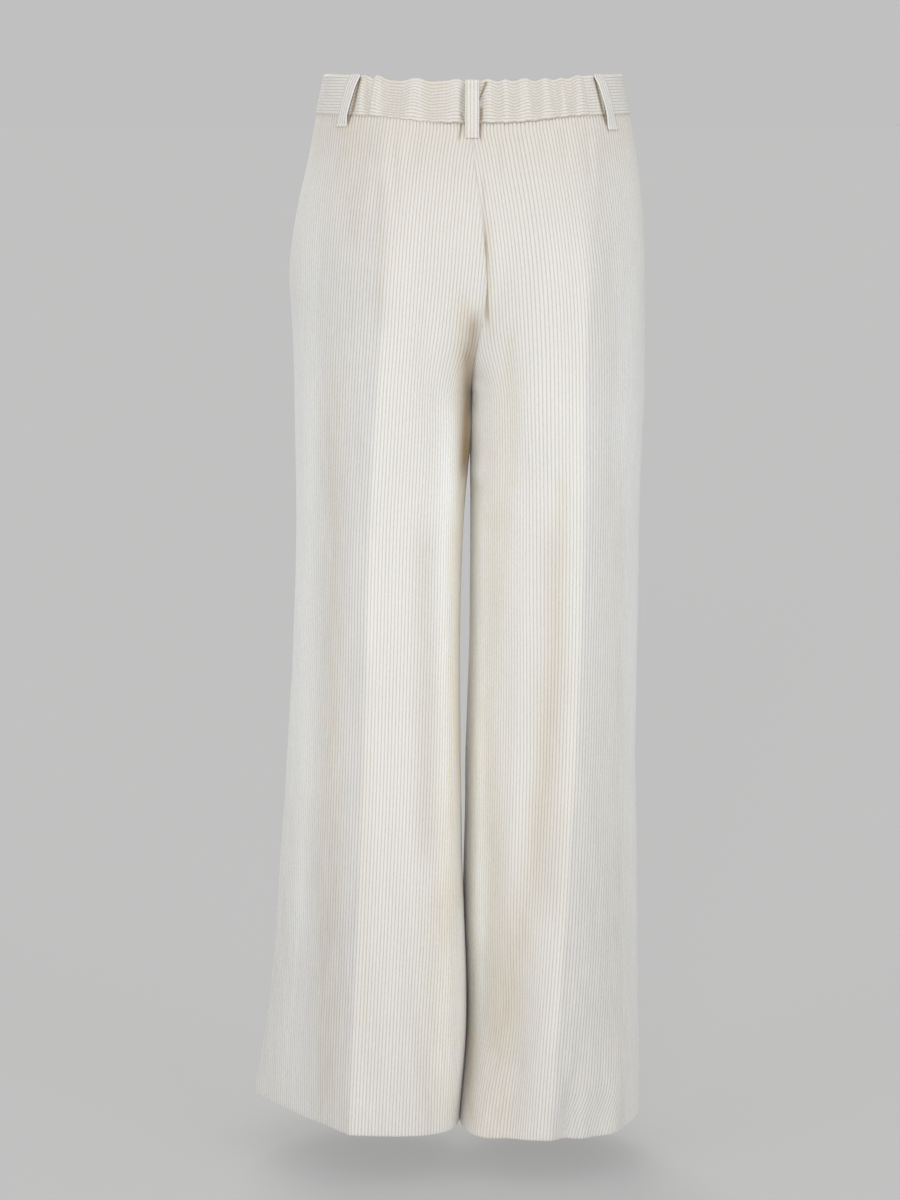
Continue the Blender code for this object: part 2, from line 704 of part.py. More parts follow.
def make_button(material):
    foot, top, out = band_frame(front_place(BUTTON_X))
    button = add_cylinder("button", BUTTON_RADIUS, BUTTON_THICK, BUTTON_SIDES)
    button.data.materials.append(material)
    button.data.shade_smooth()
    button.data.set_sharp_from_angle(angle=SHARP_EDGE)
    up = unit(top - foot)
    square = unit(out - (out @ up) * up)
    button.location = (foot + top) / 2 + (BUTTON_STAND + BUTTON_THICK / 2) * square
    button.rotation_euler = Vector(square).to_track_quat("Z", "Y").to_euler()
    dish_at = (0.0, 0.0, BUTTON_THICK)
    cut_out(button, "button_dish", BUTTON_DISH, BUTTON_THICK, BUTTON_SIDES, dish_at)
    for k in range(4):
        angle = math.pi / 4 + k * math.pi / 2
        hole_at = (BUTTON_HOLE_AT * math.cos(angle), BUTTON_HOLE_AT * math.sin(angle), 0.0)
        name = f"button_hole_{k}"
        cut_out(button, name, BUTTON_HOLE, BUTTON_THICK * 3, HOLE_SIDES, hole_at)


def main():
    clear_scene()
    cloth = finish_of("corduroy", CREAM, 0.9)
    band = finish_of("band_corduroy", CREAM_BAND, 0.9)
    horn = finish_of("button_horn", HORN, 0.35)
    tape = finish_of("zip_tape", TAPE, 0.8)
    metal = finish_of("zip_metal", NICKEL, 0.35, 1.0)
    trees = {leg: tree_of(make_leg(leg, cloth)) for leg in ("left", "right")}
    make_back_band(band)
    make_right_front_band(band)
    make_left_front_band(band)
    for row in LOOPS:
        make_loop(dict(zip(LOOP_COLUMNS, row)), band)
    make_fly(trees, cloth, tape, metal)
    make_button(horn)


main()
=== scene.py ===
"""Looks of the wide-leg corduroy trousers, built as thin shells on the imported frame.

Metres, +Z up, +X the wearer's left, front at -Y. The wales are real ridges: each panel's columns
run at fixed distances from its pressed crease, and a seam cuts them off.
"""

import json
import math

import bpy
import numpy as np
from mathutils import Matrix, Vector
from mathutils.bvhtree import BVHTree

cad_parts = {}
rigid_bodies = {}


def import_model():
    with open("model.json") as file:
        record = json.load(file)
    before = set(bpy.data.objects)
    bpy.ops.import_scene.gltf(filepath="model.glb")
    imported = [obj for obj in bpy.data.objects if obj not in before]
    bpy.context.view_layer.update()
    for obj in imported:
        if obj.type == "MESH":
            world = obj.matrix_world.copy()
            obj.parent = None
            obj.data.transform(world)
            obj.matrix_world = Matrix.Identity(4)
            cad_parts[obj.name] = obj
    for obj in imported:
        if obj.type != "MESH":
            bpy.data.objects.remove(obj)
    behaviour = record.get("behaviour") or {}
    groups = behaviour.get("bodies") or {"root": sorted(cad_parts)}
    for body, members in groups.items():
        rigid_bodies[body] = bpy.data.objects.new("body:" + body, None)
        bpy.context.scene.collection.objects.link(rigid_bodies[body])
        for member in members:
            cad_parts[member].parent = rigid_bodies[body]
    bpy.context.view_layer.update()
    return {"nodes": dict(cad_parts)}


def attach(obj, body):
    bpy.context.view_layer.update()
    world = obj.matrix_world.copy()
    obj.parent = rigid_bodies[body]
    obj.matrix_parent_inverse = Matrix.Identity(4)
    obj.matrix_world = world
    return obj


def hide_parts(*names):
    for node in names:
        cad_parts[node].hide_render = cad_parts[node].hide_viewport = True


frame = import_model()

MM = 0.001

# Sizes of the CAD model. The legs' inner edges, and how full they are there, follow the
# photograph's gap more closely from z = -0.33 down, by up to 4 mm.
CLOTH = 0.0020
BAND_CLOTH = 0.0028
BAND_HEIGHT = 0.0440
WAIST_SEAM = -0.0220
BACK_DIP = 0.0028
FRONT_DIP = 0.021
TOP_DIP = 0.0032
BAND_PROUD = 0.0005
BAND_LEAN = 0.055
RING_FULLNESS = 2.2
CROTCH = -0.305
PARTING = 0.035  # height under the crotch over which the legs part
RISE_START = -0.150
RISE_DELAY = 3.0
RISE_LEVELNESS = 0.75
SEAT_TOP = -0.060
SEAT_FOOT = -0.420
SEAT_SWAY = -0.015
SEAT_SWAY_HEIGHT = -0.190
SECTION_COLUMNS = (
    "z", "left_out", "left_crease", "left_in",
    "right_in", "right_crease", "right_out", "back", "front",
)
SECTIONS = (
    (-0.020, 0.1600, 0.0820, 0.0020, -0.0020, -0.1050, -0.1618, 0.0920, 0.0980),
    (-0.060, 0.1675, 0.0840, 0.0020, -0.0020, -0.1080, -0.1685, 0.1080, 0.1060),
    (-0.110, 0.1790, 0.0855, 0.0020, -0.0020, -0.1110, -0.1750, 0.1240, 0.1110),
    (-0.170, 0.1880, 0.0870, 0.0020, -0.0020, -0.1135, -0.1785, 0.1330, 0.1120),
    (-0.240, 0.1870, 0.0900, 0.0020, -0.0020, -0.1140, -0.1800, 0.1300, 0.1110),
    (-0.305, 0.1850, 0.0950, 0.0016, -0.0016, -0.1138, -0.1795, 0.1220, 0.1110),
    (-0.330, 0.1845, 0.0966, -0.0010, 0.0020, -0.1136, -0.1788, 0.1190, 0.1110),
    (-0.360, 0.1840, 0.0985, 0.0018, 0.0014, -0.1133, -0.1780, 0.1155, 0.1110),
    (-0.420, 0.1835, 0.1020, 0.0074, 0.0004, -0.1128, -0.1765, 0.1100, 0.1110),
    (-0.570, 0.1885, 0.1065, 0.0128, 0.0014, -0.1095, -0.1745, 0.1050, 0.1100),
    (-0.720, 0.1980, 0.1110, 0.0119, 0.0060, -0.1040, -0.1745, 0.1060, 0.1100),
    (-0.830, 0.2055, 0.1158, 0.0092, 0.0086, -0.0980, -0.1772, 0.1089, 0.1121),
    (-0.860, 0.2075, 0.1170, 0.0082, 0.0096, -0.0960, -0.1780, 0.1100, 0.1130),
    (-0.980, 0.2200, 0.1230, 0.0056, 0.0070, -0.0870, -0.1805, 0.1150, 0.1160),
    (-1.085, 0.2380, 0.1280, 0.0128, 0.0142, -0.0800, -0.1820, 0.1180, 0.1180),
)
FULLNESS_COLUMNS = (
    "z", "left_outer", "left_inner", "right_inner",
    "right_outer", "front_outer", "front_inner", "inseam_y",
)
FULLNESS = (
    (-0.100, 1.80, 2.20, 2.20, 1.80, 1.80, 2.20, 0.000),
    (-0.305, 1.60, 2.20, 2.20, 1.70, 1.65, 2.10, 0.001),
    (-0.360, 1.55, 2.35, 2.30, 1.65, 1.65, 2.05, 0.013),
    (-0.420, 1.50, 2.55, 2.40, 1.60, 1.60, 2.00, 0.018),
    (-0.800, 1.35, 2.85, 2.30, 1.60, 1.55, 2.00, 0.022),
    (-1.000, 1.20, 2.90, 2.20, 1.80, 1.60, 2.00, 0.022),
    (-1.085, 1.02, 3.60, 4.00, 1.90, 1.60, 2.00, 0.022),
)
HEMS = {"left": (-1.082, -1.0755, -1.067), "right": (-1.083, -1.081, -1.081)}
TOP_ROW = -0.020
FOOT_ROW = -1.085
TOP_FADE = 0.10
HEM_FADE = 0.22
LEG_MIDDLE = 0.09
BACK_BAND_ENDS = (-0.690, 0.640)
FLY_EDGE = 0.0040
DIP_START = 0.66
DIP_FULL = 0.36
PLUS_X = {"left": 1.0, "right": -1.0}
PLUS_Y = {"back": 1.0, "front": -1.0}

# The CAD model's soft folds, by panel: x and z at both ends, half width and out, in mm
BROAD_FOLDS = {
    ("left", "back"): (
        (46, -150, 30, -420, 16, -4.0),
        (58, -860, 34, -1110, 18, -4.0),
    ),
    ("right", "back"): (
        (-103, -320, -50, -900, 16, -5.0),
        (-86, -240, -80, -560, 12, 3.0),
        (-112, -990, -90, -1150, 10, -7.5),
        (-58, -860, -8, -1310, 20, -11.0),
        (-156, -960, -132, -1210, 14, 8.0),
        (-34, -150, -36, -420, 14, -4.0),
    ),
    ("left", "front"): (
        (60, -240, 50, -760, 18, -4.5),
        (150, -620, 160, -1110, 18, -5.0),
    ),
    ("right", "front"): (
        (-66, -200, -52, -800, 18, -4.5),
        (-140, -700, -130, -1110, 16, -6.0),
    ),
}

# Gathers under the band and finer folds, drawn one by one
FINE_FOLDS = {
    ("left", "back"): (
        (89, -20, 89, -135, 5, 1.3),
        (80, -18, 80, -105, 4, -1.2),
        (71, -18, 70, -115, 4, 0.9),
        (60, -18, 59, -75, 4, -0.7),
        (50, -18, 49, -85, 4, 0.6),
        (31, -20, 31, -105, 5, 0.9),
        (22, -20, 22, -125, 5, -1.3),
        (112, -30, 114, -120, 8, -0.8),
        (136, -60, 142, -330, 12, 0.9),
        (70, -300, 60, -760, 12, 0.7),
        (140, -500, 160, -1060, 14, 1.2),
        (172, -760, 196, -1100, 9, -1.6),
        (88, -640, 96, -1100, 10, -0.8),
        (21, -330, 24, -1040, 9, 1.4),
    ),
    ("right", "back"): (
        (-25, -20, -25, -95, 4, 0.8),
        (-33, -20, -34, -130, 5, -1.3),
        (-42, -18, -42, -75, 4, 0.6),
        (-52, -18, -52, -80, 4, -0.7),
        (-62, -18, -62, -70, 4, 0.6),
        (-73, -18, -73, -80, 4, -0.7),
        (-84, -18, -84, -75, 4, 0.6),
        (-94, -18, -95, -85, 4, -0.7),
        (-117, -18, -118, -90, 4, -0.9),
        (-125, -18, -126, -115, 5, 1.1),
        (-140, -120, -146, -420, 10, -0.9),
        (-60, -400, -30, -1000, 9, 1.4),
        (-40, -230, -22, -620, 8, -1.3),
        (-150, -420, -150, -950, 12, 1.0),
        (-128, -1000, -112, -1140, 9, 2.2),
        (-6, -300, -8, -1060, 9, 2.6),
    ),
    ("left", "front"): (
        (40, -40, 42, -130, 6, -0.9),
        (96, -30, 98, -140, 7, 0.9),
        (60, -600, 72, -1100, 12, 1.2),
        (128, -240, 136, -700, 12, -1.0),
    ),
    ("right", "front"): (
        (-48, -50, -50, -150, 6, -0.8),
        (-96, -30, -100, -150, 7, 0.9),
        (-60, -560, -66, -1090, 12, 1.4),
        (-134, -220, -140, -640, 12, -1.0),
    ),
}

# Painted shade and light on the cloth, by panel and kind: x and z at both ends and half width at
# both ends, in mm, and how strong. Beige is warm painted shade, cool is greyer painted shade, and
# dark is the painted shadow inside a fold. Below nought the tone is taken away, which paints light
# in.
SHADE_STROKES = {
    ("left", "back"): {
        "beige": (
            (122, -10, 118, -150, 12, 12, 0.5),
            (140, -260, 152, -1075, 12, 14, 0.8),
            (20, -420, 26, -860, 6, 14, 1.1),
            (26, -820, 30, -1080, 14, 20, 1.0),
            (8, -200, 8, -420, 6, 7, 1.4),
            (12, -240, 15, -760, 6, 6, 1.0),
        ),
        "cool": (
            (104, -520, 116, -1075, 5, 7, -0.3),
            (164, -260, 178, -900, 7, 8, -0.35),
        ),
        "dark": (
            (-2, -215, 6, -385, 6, 9, 0.66),
            (106, -560, 113, -1000, 7, 7, 0.08),
            (9, -330, 14, -700, 4, 3, 0.22),
            (25, -330, 26, -1090, 11, 12, -0.3),
            (10, -840, 14, -1060, 5, 5, -0.2),
            (6, -250, 7, -396, 4, 5, 0.38),
            (163, -60, 190, -1090, 18, 20, -0.15),
            (46, -430, 46, -780, 13, 13, 0.14),
            (90, -80, 92, -230, 7, 7, 0.1),
            (9.5, -19, 13.5, -44, 1.6, 1.0, 0.75),
            (122.4, -18, 126.6, -31, 1.3, 1.0, 0.8),
        ),
    },
    ("right", "back"): {
        "beige": (
            (-1, -340, 1, -1070, 7, 8, 1.2),
            (-40, -230, -27, -440, 5, 16, 0.55),
            (-27, -420, -14, -640, 16, 9, 0.6),
            (-14, -630, -28, -985, 9, 22, 0.9),
            (-30, -985, -28, -1090, 22, 18, 0.85),
            (-92, -380, -86, -560, 8, 8, 0.75),
            (-87, -556, -66, -780, 9, 11, 0.85),
            (-66, -780, -32, -990, 12, 16, 0.8),
            (-14, -118, -17, -240, 5, 6, 0.9),
            (-150, -380, -160, -1060, 8, 10, 0.5),
        ),
        "cool": (
            (-108, -180, -104, -640, 5, 5, -0.15),
            (-104, -620, -84, -1050, 5, 5, -0.3),
        ),
        "dark": (
            (-5, -225, -1, -310, 2.0, 1.2, 0.34),
            (-4, -290, -4, -392, 9, 8, -0.75),
            (-80, -430, -82, -840, 20, 20, 0.14),
            (5, -840, 5, -1000, 2, 2, 0.15),
            (-5, -380, -7, -985, 11, 9, -0.5),
            (4, -935, 1, -1070, 3, 5, 0.22),
            (-158, -60, -172, -1090, 18, 18, -0.15),
            (-11, -80, -15.5, -226, 1.2, 1.5, 0.26),
            (-13.4, -136, -15.5, -222, 1.6, 1.6, 0.55),
            (-9.0, -18, -8.0, -44, 1.5, 0.9, 0.95),
            (-132.4, -18, -138.0, -35, 1.3, 1.0, 0.8),
        ),
    },
    ("left", "front"): {
        "beige": (
            (30, -380, 34, -1080, 10, 18, 0.8),
            (140, -260, 158, -1075, 12, 14, 0.6),
        ),
    },
    ("right", "front"): {
        "beige": (
            (-30, -380, -34, -1080, 10, 18, 0.8),
            (-140, -260, -150, -1075, 12, 14, 0.6),
        ),
    },
}
KINDS = ("beige", "cool", "dark")

# Painted shade over a whole panel by height: the kind, how strong, and the heights, in mm, between
# which it grows
SHADE_DOWN = (
    ("beige", 0.5, -95, -30), ("beige", 0.15, -650, -1080), ("cool", 0.75, -650, -1080),
    ("dark", 0.13, -330, -70), ("dark", 0.08, -450, -850),
)
# Painted shade, greyer and cooler, on the outer side of the crease where the cloth turns from the
# light, which grows in the same way from its least, and how it begins there, in mm from the crease,
# blurred near the waist
COOL_LEAST, COOL_OUTSIDE = 0.45, ((0.55, -60, -220), (-0.28, -850, -1060))
CREASE_SHADE = (-1.5, 5)
CREASE_BLUR, CREASE_BLUR_HEIGHTS = 4, (-250, -60)

# Lean of the back panels' wales from their crease, by height: mm and degrees, toward the centre
LEANS = {
    "left": ((-22, 4.8), (-60, 5.0), (-100, 5.2), (-160, 2.6), (-220, 0.8), (-280, -0.5),
             (-420, 0.0)),
    "right": ((-22, 5.6), (-60, 6.4), (-100, 7.0), (-160, 5.4), (-220, 2.8), (-280, 1.2),
              (-860, 0.8), (-960, 0.0)),
}
HEM_LEAN = 13.0  # degrees, at the right leg's outer hem, from this height down
HEM_LEAN_TOP = -1.020
FAN = 1.0  # degrees that the right back's inner wales lean more, between these heights
FAN_HEIGHTS = (-0.920, -0.320)

# How deep the centre back seam lies between the panels, by height, in mm
CENTRE_VALLEY_Z = (-22, -60, -100, -135, -160, -200, -230, -260, -305)
CENTRE_VALLEY = (0.2, 0.5, 1.0, 2.6, 3.8, 3.6, 2.6, 1.6, 0.4)

# Cloth
WALE = 0.00355  # pitch of the wales
WALE_HIGH = 0.00062
WALE_STEPS = {"back": (0.0, 0.12, 0.32, 0.68, 0.88), "front": (0.0, 0.16, 0.5, 0.84)}
WALE_SHAPE = 0.6
EDGE_STEPS = (0.0, 0.0005, 0.0014, 0.0028)  # columns that follow a seam
LEAST_CELL = 0.0006
ROLL = 0.0007
ROLL_REACH = 0.0013
HEM_THICK = 0.0044
HEM_SQUASH = 0.8
HEM_TUCK = HEM_THICK / 2 * HEM_SQUASH
HEM_TURNS = (0.18, 0.36, 0.5, 0.64, 0.82, 1.0)
HEM_ROWS_UP = (2, 4, 6)  # rows of the turned hem above the fold
HEM_EDGE = 0.0014  # thickness of the turned hem's cut edge
HEM_WALE = 0.8  # height of the wales inside, where the hem is pressed
HEM_UV = 0.006  # how far the wales' v runs on round the fold
WALE_END = 0.0012  # a wale gets flat over this length to a seam
WOBBLE = 0.05  # share by which the height of the wales varies
WOBBLE_ACROSS, WOBBLE_DOWN = 900, 60  # radians to the metre
LEVEL_STEPS = (0.0, 0.14, 0.36, 0.64, 0.86)  # points of a wale on the band and the loops
TOP_ROLL = (0.5, 0.2)  # how much further the top rows turn in, in rolls
TOP_SHADOW = (0.55, 0.44, 0.11)  # shadow in the grooves of the top rows
PLACES = 100  # cells from a crease to a seam before the wales are cut
DENSE = 121


# Curves and tables


def table(columns, rows):
    return {name: np.array([row[i] for row in rows]) for i, name in enumerate(columns)}


SECTION = table(SECTION_COLUMNS, SECTIONS)
SHAPE = table(FULLNESS_COLUMNS, FULLNESS)


def down(heights, column, z):
    slopes = np.gradient(column, heights)
    z = np.clip(np.asarray(z, float), heights[-1], heights[0])
    i = np.clip(np.searchsorted(-heights, -z, side="right") - 1, 0, len(heights) - 2)
    span = heights[i + 1] - heights[i]
    f = (z - heights[i]) / span
    value = (1 - f) ** 2 * (1 + 2 * f) * column[i] + f**2 * (3 - 2 * f) * column[i + 1]
    return value + span * (f * (1 - f) ** 2 * slopes[i] - f**2 * (1 - f) * slopes[i + 1])


def section(name, z):
    return down(SECTION["z"], SECTION[name], z)


def shape(name, z):
    return down(SHAPE["z"], SHAPE[name], z)


def smooth(low, high, value):
    f = np.clip((np.asarray(value, float) - low) / (high - low), 0.0, 1.0)
    return f * f * (3 - 2 * f)


def bell(distance, width):
    return np.exp(-((distance / width) ** 2))


def fade(distance, reach):
    return np.exp(-distance / reach)


def unit(vectors):
    size = np.linalg.norm(vectors, axis=-1, keepdims=True)
    return vectors / np.maximum(size, 1e-12)


def lengths(curves):
    """Distance along each of several curves, an array of (curve, point, coordinate)."""
    steps = np.linalg.norm(np.diff(curves, axis=1), axis=2)
    return np.concatenate([np.zeros((len(curves), 1)), np.cumsum(steps, axis=1)], axis=1)


def at_lengths(curves, along, wanted):
    made = np.empty((len(curves), wanted.shape[1], curves.shape[2]))
    for k in range(len(curves)):
        for axis in range(curves.shape[2]):
            made[k, :, axis] = np.interp(wanted[k], along[k], curves[k, :, axis])
    return made


def quarters(start, end, fullness):
    """Quarters of superellipses, one to a height: level at start, upright at end."""
    angle = np.linspace(0.0, math.pi / 2, DENSE)[None, :]
    power = 2 / np.asarray(fullness)[:, None]
    across = np.sin(angle) ** power
    up = np.abs(np.cos(angle)) ** power
    x = start[0][:, None] + (end[0] - start[0])[:, None] * across
    y = end[1][:, None] + (start[1] - end[1])[:, None] * up
    return np.stack([x, y], axis=2)


def centre_x(face, z):
    if face == "front":
        return np.zeros_like(z)
    back_again = smooth(SEAT_SWAY_HEIGHT, CROTCH, z)
    return SEAT_SWAY * (smooth(WAIST_SEAM, SEAT_SWAY_HEIGHT, z) - back_again)


def sections_of(leg, face, z, places):
    """x, y of one panel at heights z and places from the centre seam or inseam, 0, to the side."""
    side, depth = section(leg + "_out", z), PLUS_Y[face] * section(face, z)
    crease, level = section(leg + "_crease", z), np.zeros_like(z)
    ring = quarters((centre_x(face, z), depth), (side, level), np.full(len(z), RING_FULLNESS))
    along = lengths(ring)
    to_crease = np.array([
        np.interp(abs(c), PLUS_X[leg] * curve[:, 0], far)
        for c, curve, far in zip(crease, ring, along)
    ])[:, None]
    inner = np.clip(places * 2, 0, 1)[None, :]
    outer = np.clip(places * 2 - 1, 0, 1)[None, :]
    ring = at_lengths(ring, along, to_crease * inner + (along[:, -1:] - to_crease) * outer)

    apart = smooth(CROTCH, CROTCH - PARTING, z)
    inseam = (section(leg + "_in", z) * apart, PLUS_X[leg] * shape("inseam_y", z) * apart)
    part = "front" if face == "front" else leg
    legs = []
    for end, fullness, wanted in (
        (inseam, part + "_inner", 1 - inner),
        ((side, level), part + "_outer", outer),
    ):
        curve = quarters((crease, depth), end, shape(fullness, z))
        along = lengths(curve)
        legs.append(at_lengths(curve, along, along[:, -1:] * wanted))
    legs = np.where((places <= 0.5)[None, :, None], legs[0], legs[1])

    fallen = np.clip((RISE_START - z) / (RISE_START - CROTCH), 0.0, 1.0)
    at_centre = (1 - (1 - fallen**RISE_DELAY) ** RISE_LEVELNESS)[:, None]
    at_crease = smooth(SEAT_TOP, SEAT_FOOT, z)[:, None]
    share = at_centre + (at_crease - at_centre) * smooth(0.0, 0.5, places)[None, :]
    return (1 - share[..., None]) * ring + share[..., None] * legs


# Panels before their wales


BAND_ROWS = (0.0, 0.0010, 0.0026)  # heights under the band's seam
RISE_FOOT, RISE_ROWS = -0.2500, 38
TURN_HEIGHT, TURN_ROWS, TURN_CROWDING = 0.055, 15, 1.7
LEG_ROWS = 124


def row_list():
    """Row heights, closer together where the centre seams turn under. They include the crotch."""
    start = TOP_ROW - np.array(BAND_ROWS)
    above = np.concatenate([start, np.linspace(TOP_ROW, RISE_FOOT, RISE_ROWS)[1:]])
    turning = CROTCH + TURN_HEIGHT * np.linspace(1, 0, TURN_ROWS)[1:] ** TURN_CROWDING
    below = np.linspace(CROTCH, FOOT_ROW, LEG_ROWS)[1:]
    return np.concatenate([above, turning, below])


ROWS = row_list()
CROTCH_ROW = int(np.argmin(np.abs(ROWS - CROTCH)))
AT = np.linspace(0.0, 1.0, 2 * PLACES + 1)
LATTICE = np.linspace(-0.0185, -1.0925, 560)  # heights that the sections are worked out at

# How far over the CAD's line the seam under the band lies, in mm, with the shares of the way to
# the side between which it rises
BACK_RISE, BACK_RISE_FROM, BACK_RISE_TO = 5.6, 0.15, 0.55
BACK_DROP = 2.2
FRONT_RISE, FRONT_RISE_FROM, FRONT_RISE_TO = 3.4, 0.45, 1.0

# Streaks that keep a panel from looking moulded: their widths, lengths and heights, in mm
STREAKS = ((31, 620, 0.22), (47, 410, 0.30), (73, 830, 0.42), (118, 530, 0.50), (24, 260, 0.14))
STREAK_TURNS = {
    ("left", "back"): 0.3, ("right", "back"): 1.9, ("left", "front"): 3.1, ("right", "front"): 4.7,
}
CREASE_RIDGE = {"left": 0.5, "right": 0.9}  # mm that the pressed crease stands out
CREASE_REACH = 3.5 * MM
CREASE_HEIGHTS = (-0.09, -0.30)  # the crease gets sharper between these
VALLEY_REACH = 6 * MM
SEAM_REACH = 7 * MM
FOLD_START = (-0.001, 0.006)  # folds and creases fade in over this height under the band's seam
GATHERS = ((0.35, 430, 0.6), (0.30, 1020, 1.1))  # mm, radians to the metre and at the centre
GATHER_ENDS = (0.135, 0.110)
GATHER_DOWN = 0.012  # height under the seam over which the gathers fade


def waist_dip(face, share):
    return (BACK_DIP if face == "back" else FRONT_DIP) * (1 - smooth(0.0, 1.0, share))


def seam_rise(face, share):
    if face == "back":
        return MM * (BACK_RISE * smooth(BACK_RISE_FROM, BACK_RISE_TO, share) - BACK_DROP)
    return MM * FRONT_RISE * smooth(FRONT_RISE_FROM, FRONT_RISE_TO, share)


def broad_out(leg, face, x, z):
    """How far the folds stand out of a panel at x, z."""
    total = np.zeros_like(x)
    for x0, z0, x1, z1, width, out in BROAD_FOLDS[leg, face] + FINE_FOLDS[leg, face]:
        share = (z / MM - z0) / (z1 - z0)
        line = x0 + share * (x1 - x0)
        across = bell(x / MM - line, width)
        along = np.where((share > 0) & (share < 1), np.sin(np.clip(share, 0, 1) * math.pi), 0)
        total += out * MM * along * across
    return total


def unevenness(leg, face, x, z):
    total = np.zeros_like(x)
    for k, (wide, long, size) in enumerate(STREAKS):
        turn = STREAK_TURNS[leg, face] * (k + 1) * 1.7
        bent = 0.6 * np.sin(z / MM / long * 5.1 + turn)
        streak = np.sin(2 * math.pi * (x / MM / wide + bent) + turn)
        strength = 0.55 + 0.45 * np.sin(2 * math.pi * z / MM / long + 2.3 * turn)
        total += size * MM * streak * strength
    return total


def grid_normals(grid, outward):
    along = np.gradient(grid, axis=0)
    across = np.gradient(grid, axis=1)
    normals = unit(np.cross(along, across))
    return normals * np.sign(np.sum(normals * outward, axis=-1, keepdims=True))


def base_grid(leg, face):
    lattice = sections_of(leg, face, LATTICE, AT)
    dips = waist_dip(face, AT) - seam_rise(face, AT)
    z = ROWS[:, None]
    top = smooth(TOP_ROW - TOP_FADE, TOP_ROW, z)
    foot = smooth(FOOT_ROW + HEM_FADE, FOOT_ROW, z)
    hem = np.interp(AT, [0.0, 0.5, 1.0], HEMS[leg]) + HEM_TUCK
    z = z + top * (WAIST_SEAM - TOP_ROW - dips[None, :]) + foot * (hem[None, :] - FOOT_ROW)
    grid = np.empty((len(ROWS), len(AT), 3))
    for j in range(len(AT)):
        for axis in range(2):
            grid[:, j, axis] = np.interp(-z[:, j], -LATTICE, lattice[:, j, axis])
    grid[..., 2] = z
    if face == "back":
        near_top = smooth(TOP_ROW - GATHER_DOWN, TOP_ROW, ROWS)[:, None]
        grid[..., 2] += near_top * gathered(grid[..., 0])
    return grid


def gathered(x):
    """How far the elastic's gathers lift the seam line of the back at x."""
    waves = sum(high * np.sin(x * turn + start) for high, turn, start in GATHERS)
    return smooth(*GATHER_ENDS, np.abs(x)) * MM * waves


def outward_of(leg, grid):
    outward = grid - np.array([PLUS_X[leg] * LEG_MIDDLE, 0.0, 0.0])
    outward[..., 2] = 0.0
    return outward


def smooth_panel(leg, face):
    """A panel's smooth outer surface with its folds."""
    grid = base_grid(leg, face)
    normals = grid_normals(grid, outward_of(leg, grid))
    from_crease = lengths(grid)
    from_centre = from_crease.copy()
    from_crease = from_crease - from_crease[:, PLACES:PLACES + 1]
    x, z = grid[..., 0], grid[..., 2]
    out = broad_out(leg, face, x, z) + unevenness(leg, face, x, z)
    pressed = smooth(*CREASE_HEIGHTS, z)
    out += CREASE_RIDGE[leg] * MM * pressed * fade(np.abs(from_crease), CREASE_REACH)
    if face == "back":
        depth = np.interp(-z / MM, -np.array(CENTRE_VALLEY_Z, float), CENTRE_VALLEY)
        out -= depth * MM * (z > CROTCH) * bell(from_centre, VALLEY_REACH)
    out *= smooth(*FOLD_START, grid[:1, :, 2] - z)
    return grid + out[..., None] * normals


def close_seams(panels):
    """Panels that share a seam meet on it: both edges, and the ways out there, are averaged."""
    normals = {}
    for key, grid in panels.items():
        normals[key] = grid_normals(grid, outward_of(key[0], grid))
    rise, inseams = slice(0, CROTCH_ROW), slice(CROTCH_ROW, None)
    shared = [((leg, "back"), (leg, "front"), -1, slice(None)) for leg in PLUS_X]
    shared += [((leg, "back"), (leg, "front"), 0, inseams) for leg in PLUS_X]
    shared += [(("left", face), ("right", face), 0, rise) for face in PLUS_Y]
    for first, second, column, rows in shared:
        middle = (panels[first][rows, column] + panels[second][rows, column]) / 2
        if rows is inseams:
            middle[0] = (0.0, 0.0, CROTCH)
        way = unit(normals[first][rows, column] + normals[second][rows, column])
        if rows is rise:
            way = unit(way * np.array([0.0, 1.0, 1.0]))
        for key in (first, second):
            grid, normal = panels[key], normals[key]
            far = lengths(grid)
            far = far if column == 0 else far[:, -1:] - far
            near = bell(far[rows], SEAM_REACH)[..., None]
            move = middle - grid[rows, column]
            turn = way - normal[rows, column]
            grid[rows] += near * move[:, None]
            normal[rows] = unit(normal[rows] + near * turn[:, None])
    return normals


# Meshes


def add_mesh(name, verts, faces, uv, finish, tones=None):
    """A smooth object from vertices, lists of triangles and quads, and u, v and tones to each."""
    faces = [np.asarray(f, np.int64) for f in faces if len(f)]
    used = np.unique(np.concatenate([f.ravel() for f in faces]))
    renumber = np.zeros(len(verts), np.int64)
    renumber[used] = np.arange(len(used))
    verts, uv = np.asarray(verts)[used], np.asarray(uv)[used]
    tones = np.zeros((len(verts), 3)) if tones is None else np.asarray(tones)[used]
    faces = [renumber[f] for f in faces]
    corners = np.concatenate([f.ravel() for f in faces])
    sizes = np.concatenate([np.full(len(f), f.shape[1]) for f in faces])
    mesh = bpy.data.meshes.new(name)
    mesh.vertices.add(len(verts))
    mesh.vertices.foreach_set("co", verts.astype(np.float32).ravel())
    mesh.loops.add(len(corners))
    mesh.loops.foreach_set("vertex_index", corners.astype(np.int32))
    mesh.polygons.add(len(sizes))
    starts = np.concatenate([[0], np.cumsum(sizes)[:-1]])
    mesh.polygons.foreach_set("loop_start", starts.astype(np.int32))
    mesh.update(calc_edges=True)
    layer = mesh.uv_layers.new(name="cloth")
    layer.data.foreach_set("uv", uv[corners].astype(np.float32).ravel())
    colour = mesh.attributes.new(name="tone", type="FLOAT_COLOR", domain="POINT")
    rgba = np.ones((len(verts), 4), np.float32)
    rgba[:, :3] = tones
    colour.data.foreach_set("color", rgba.ravel())
    mesh.validate()
    mesh.shade_smooth()
    mesh.materials.append(finish)
    made = bpy.data.objects.new(name, mesh)
    bpy.context.scene.collection.objects.link(made)
    return made


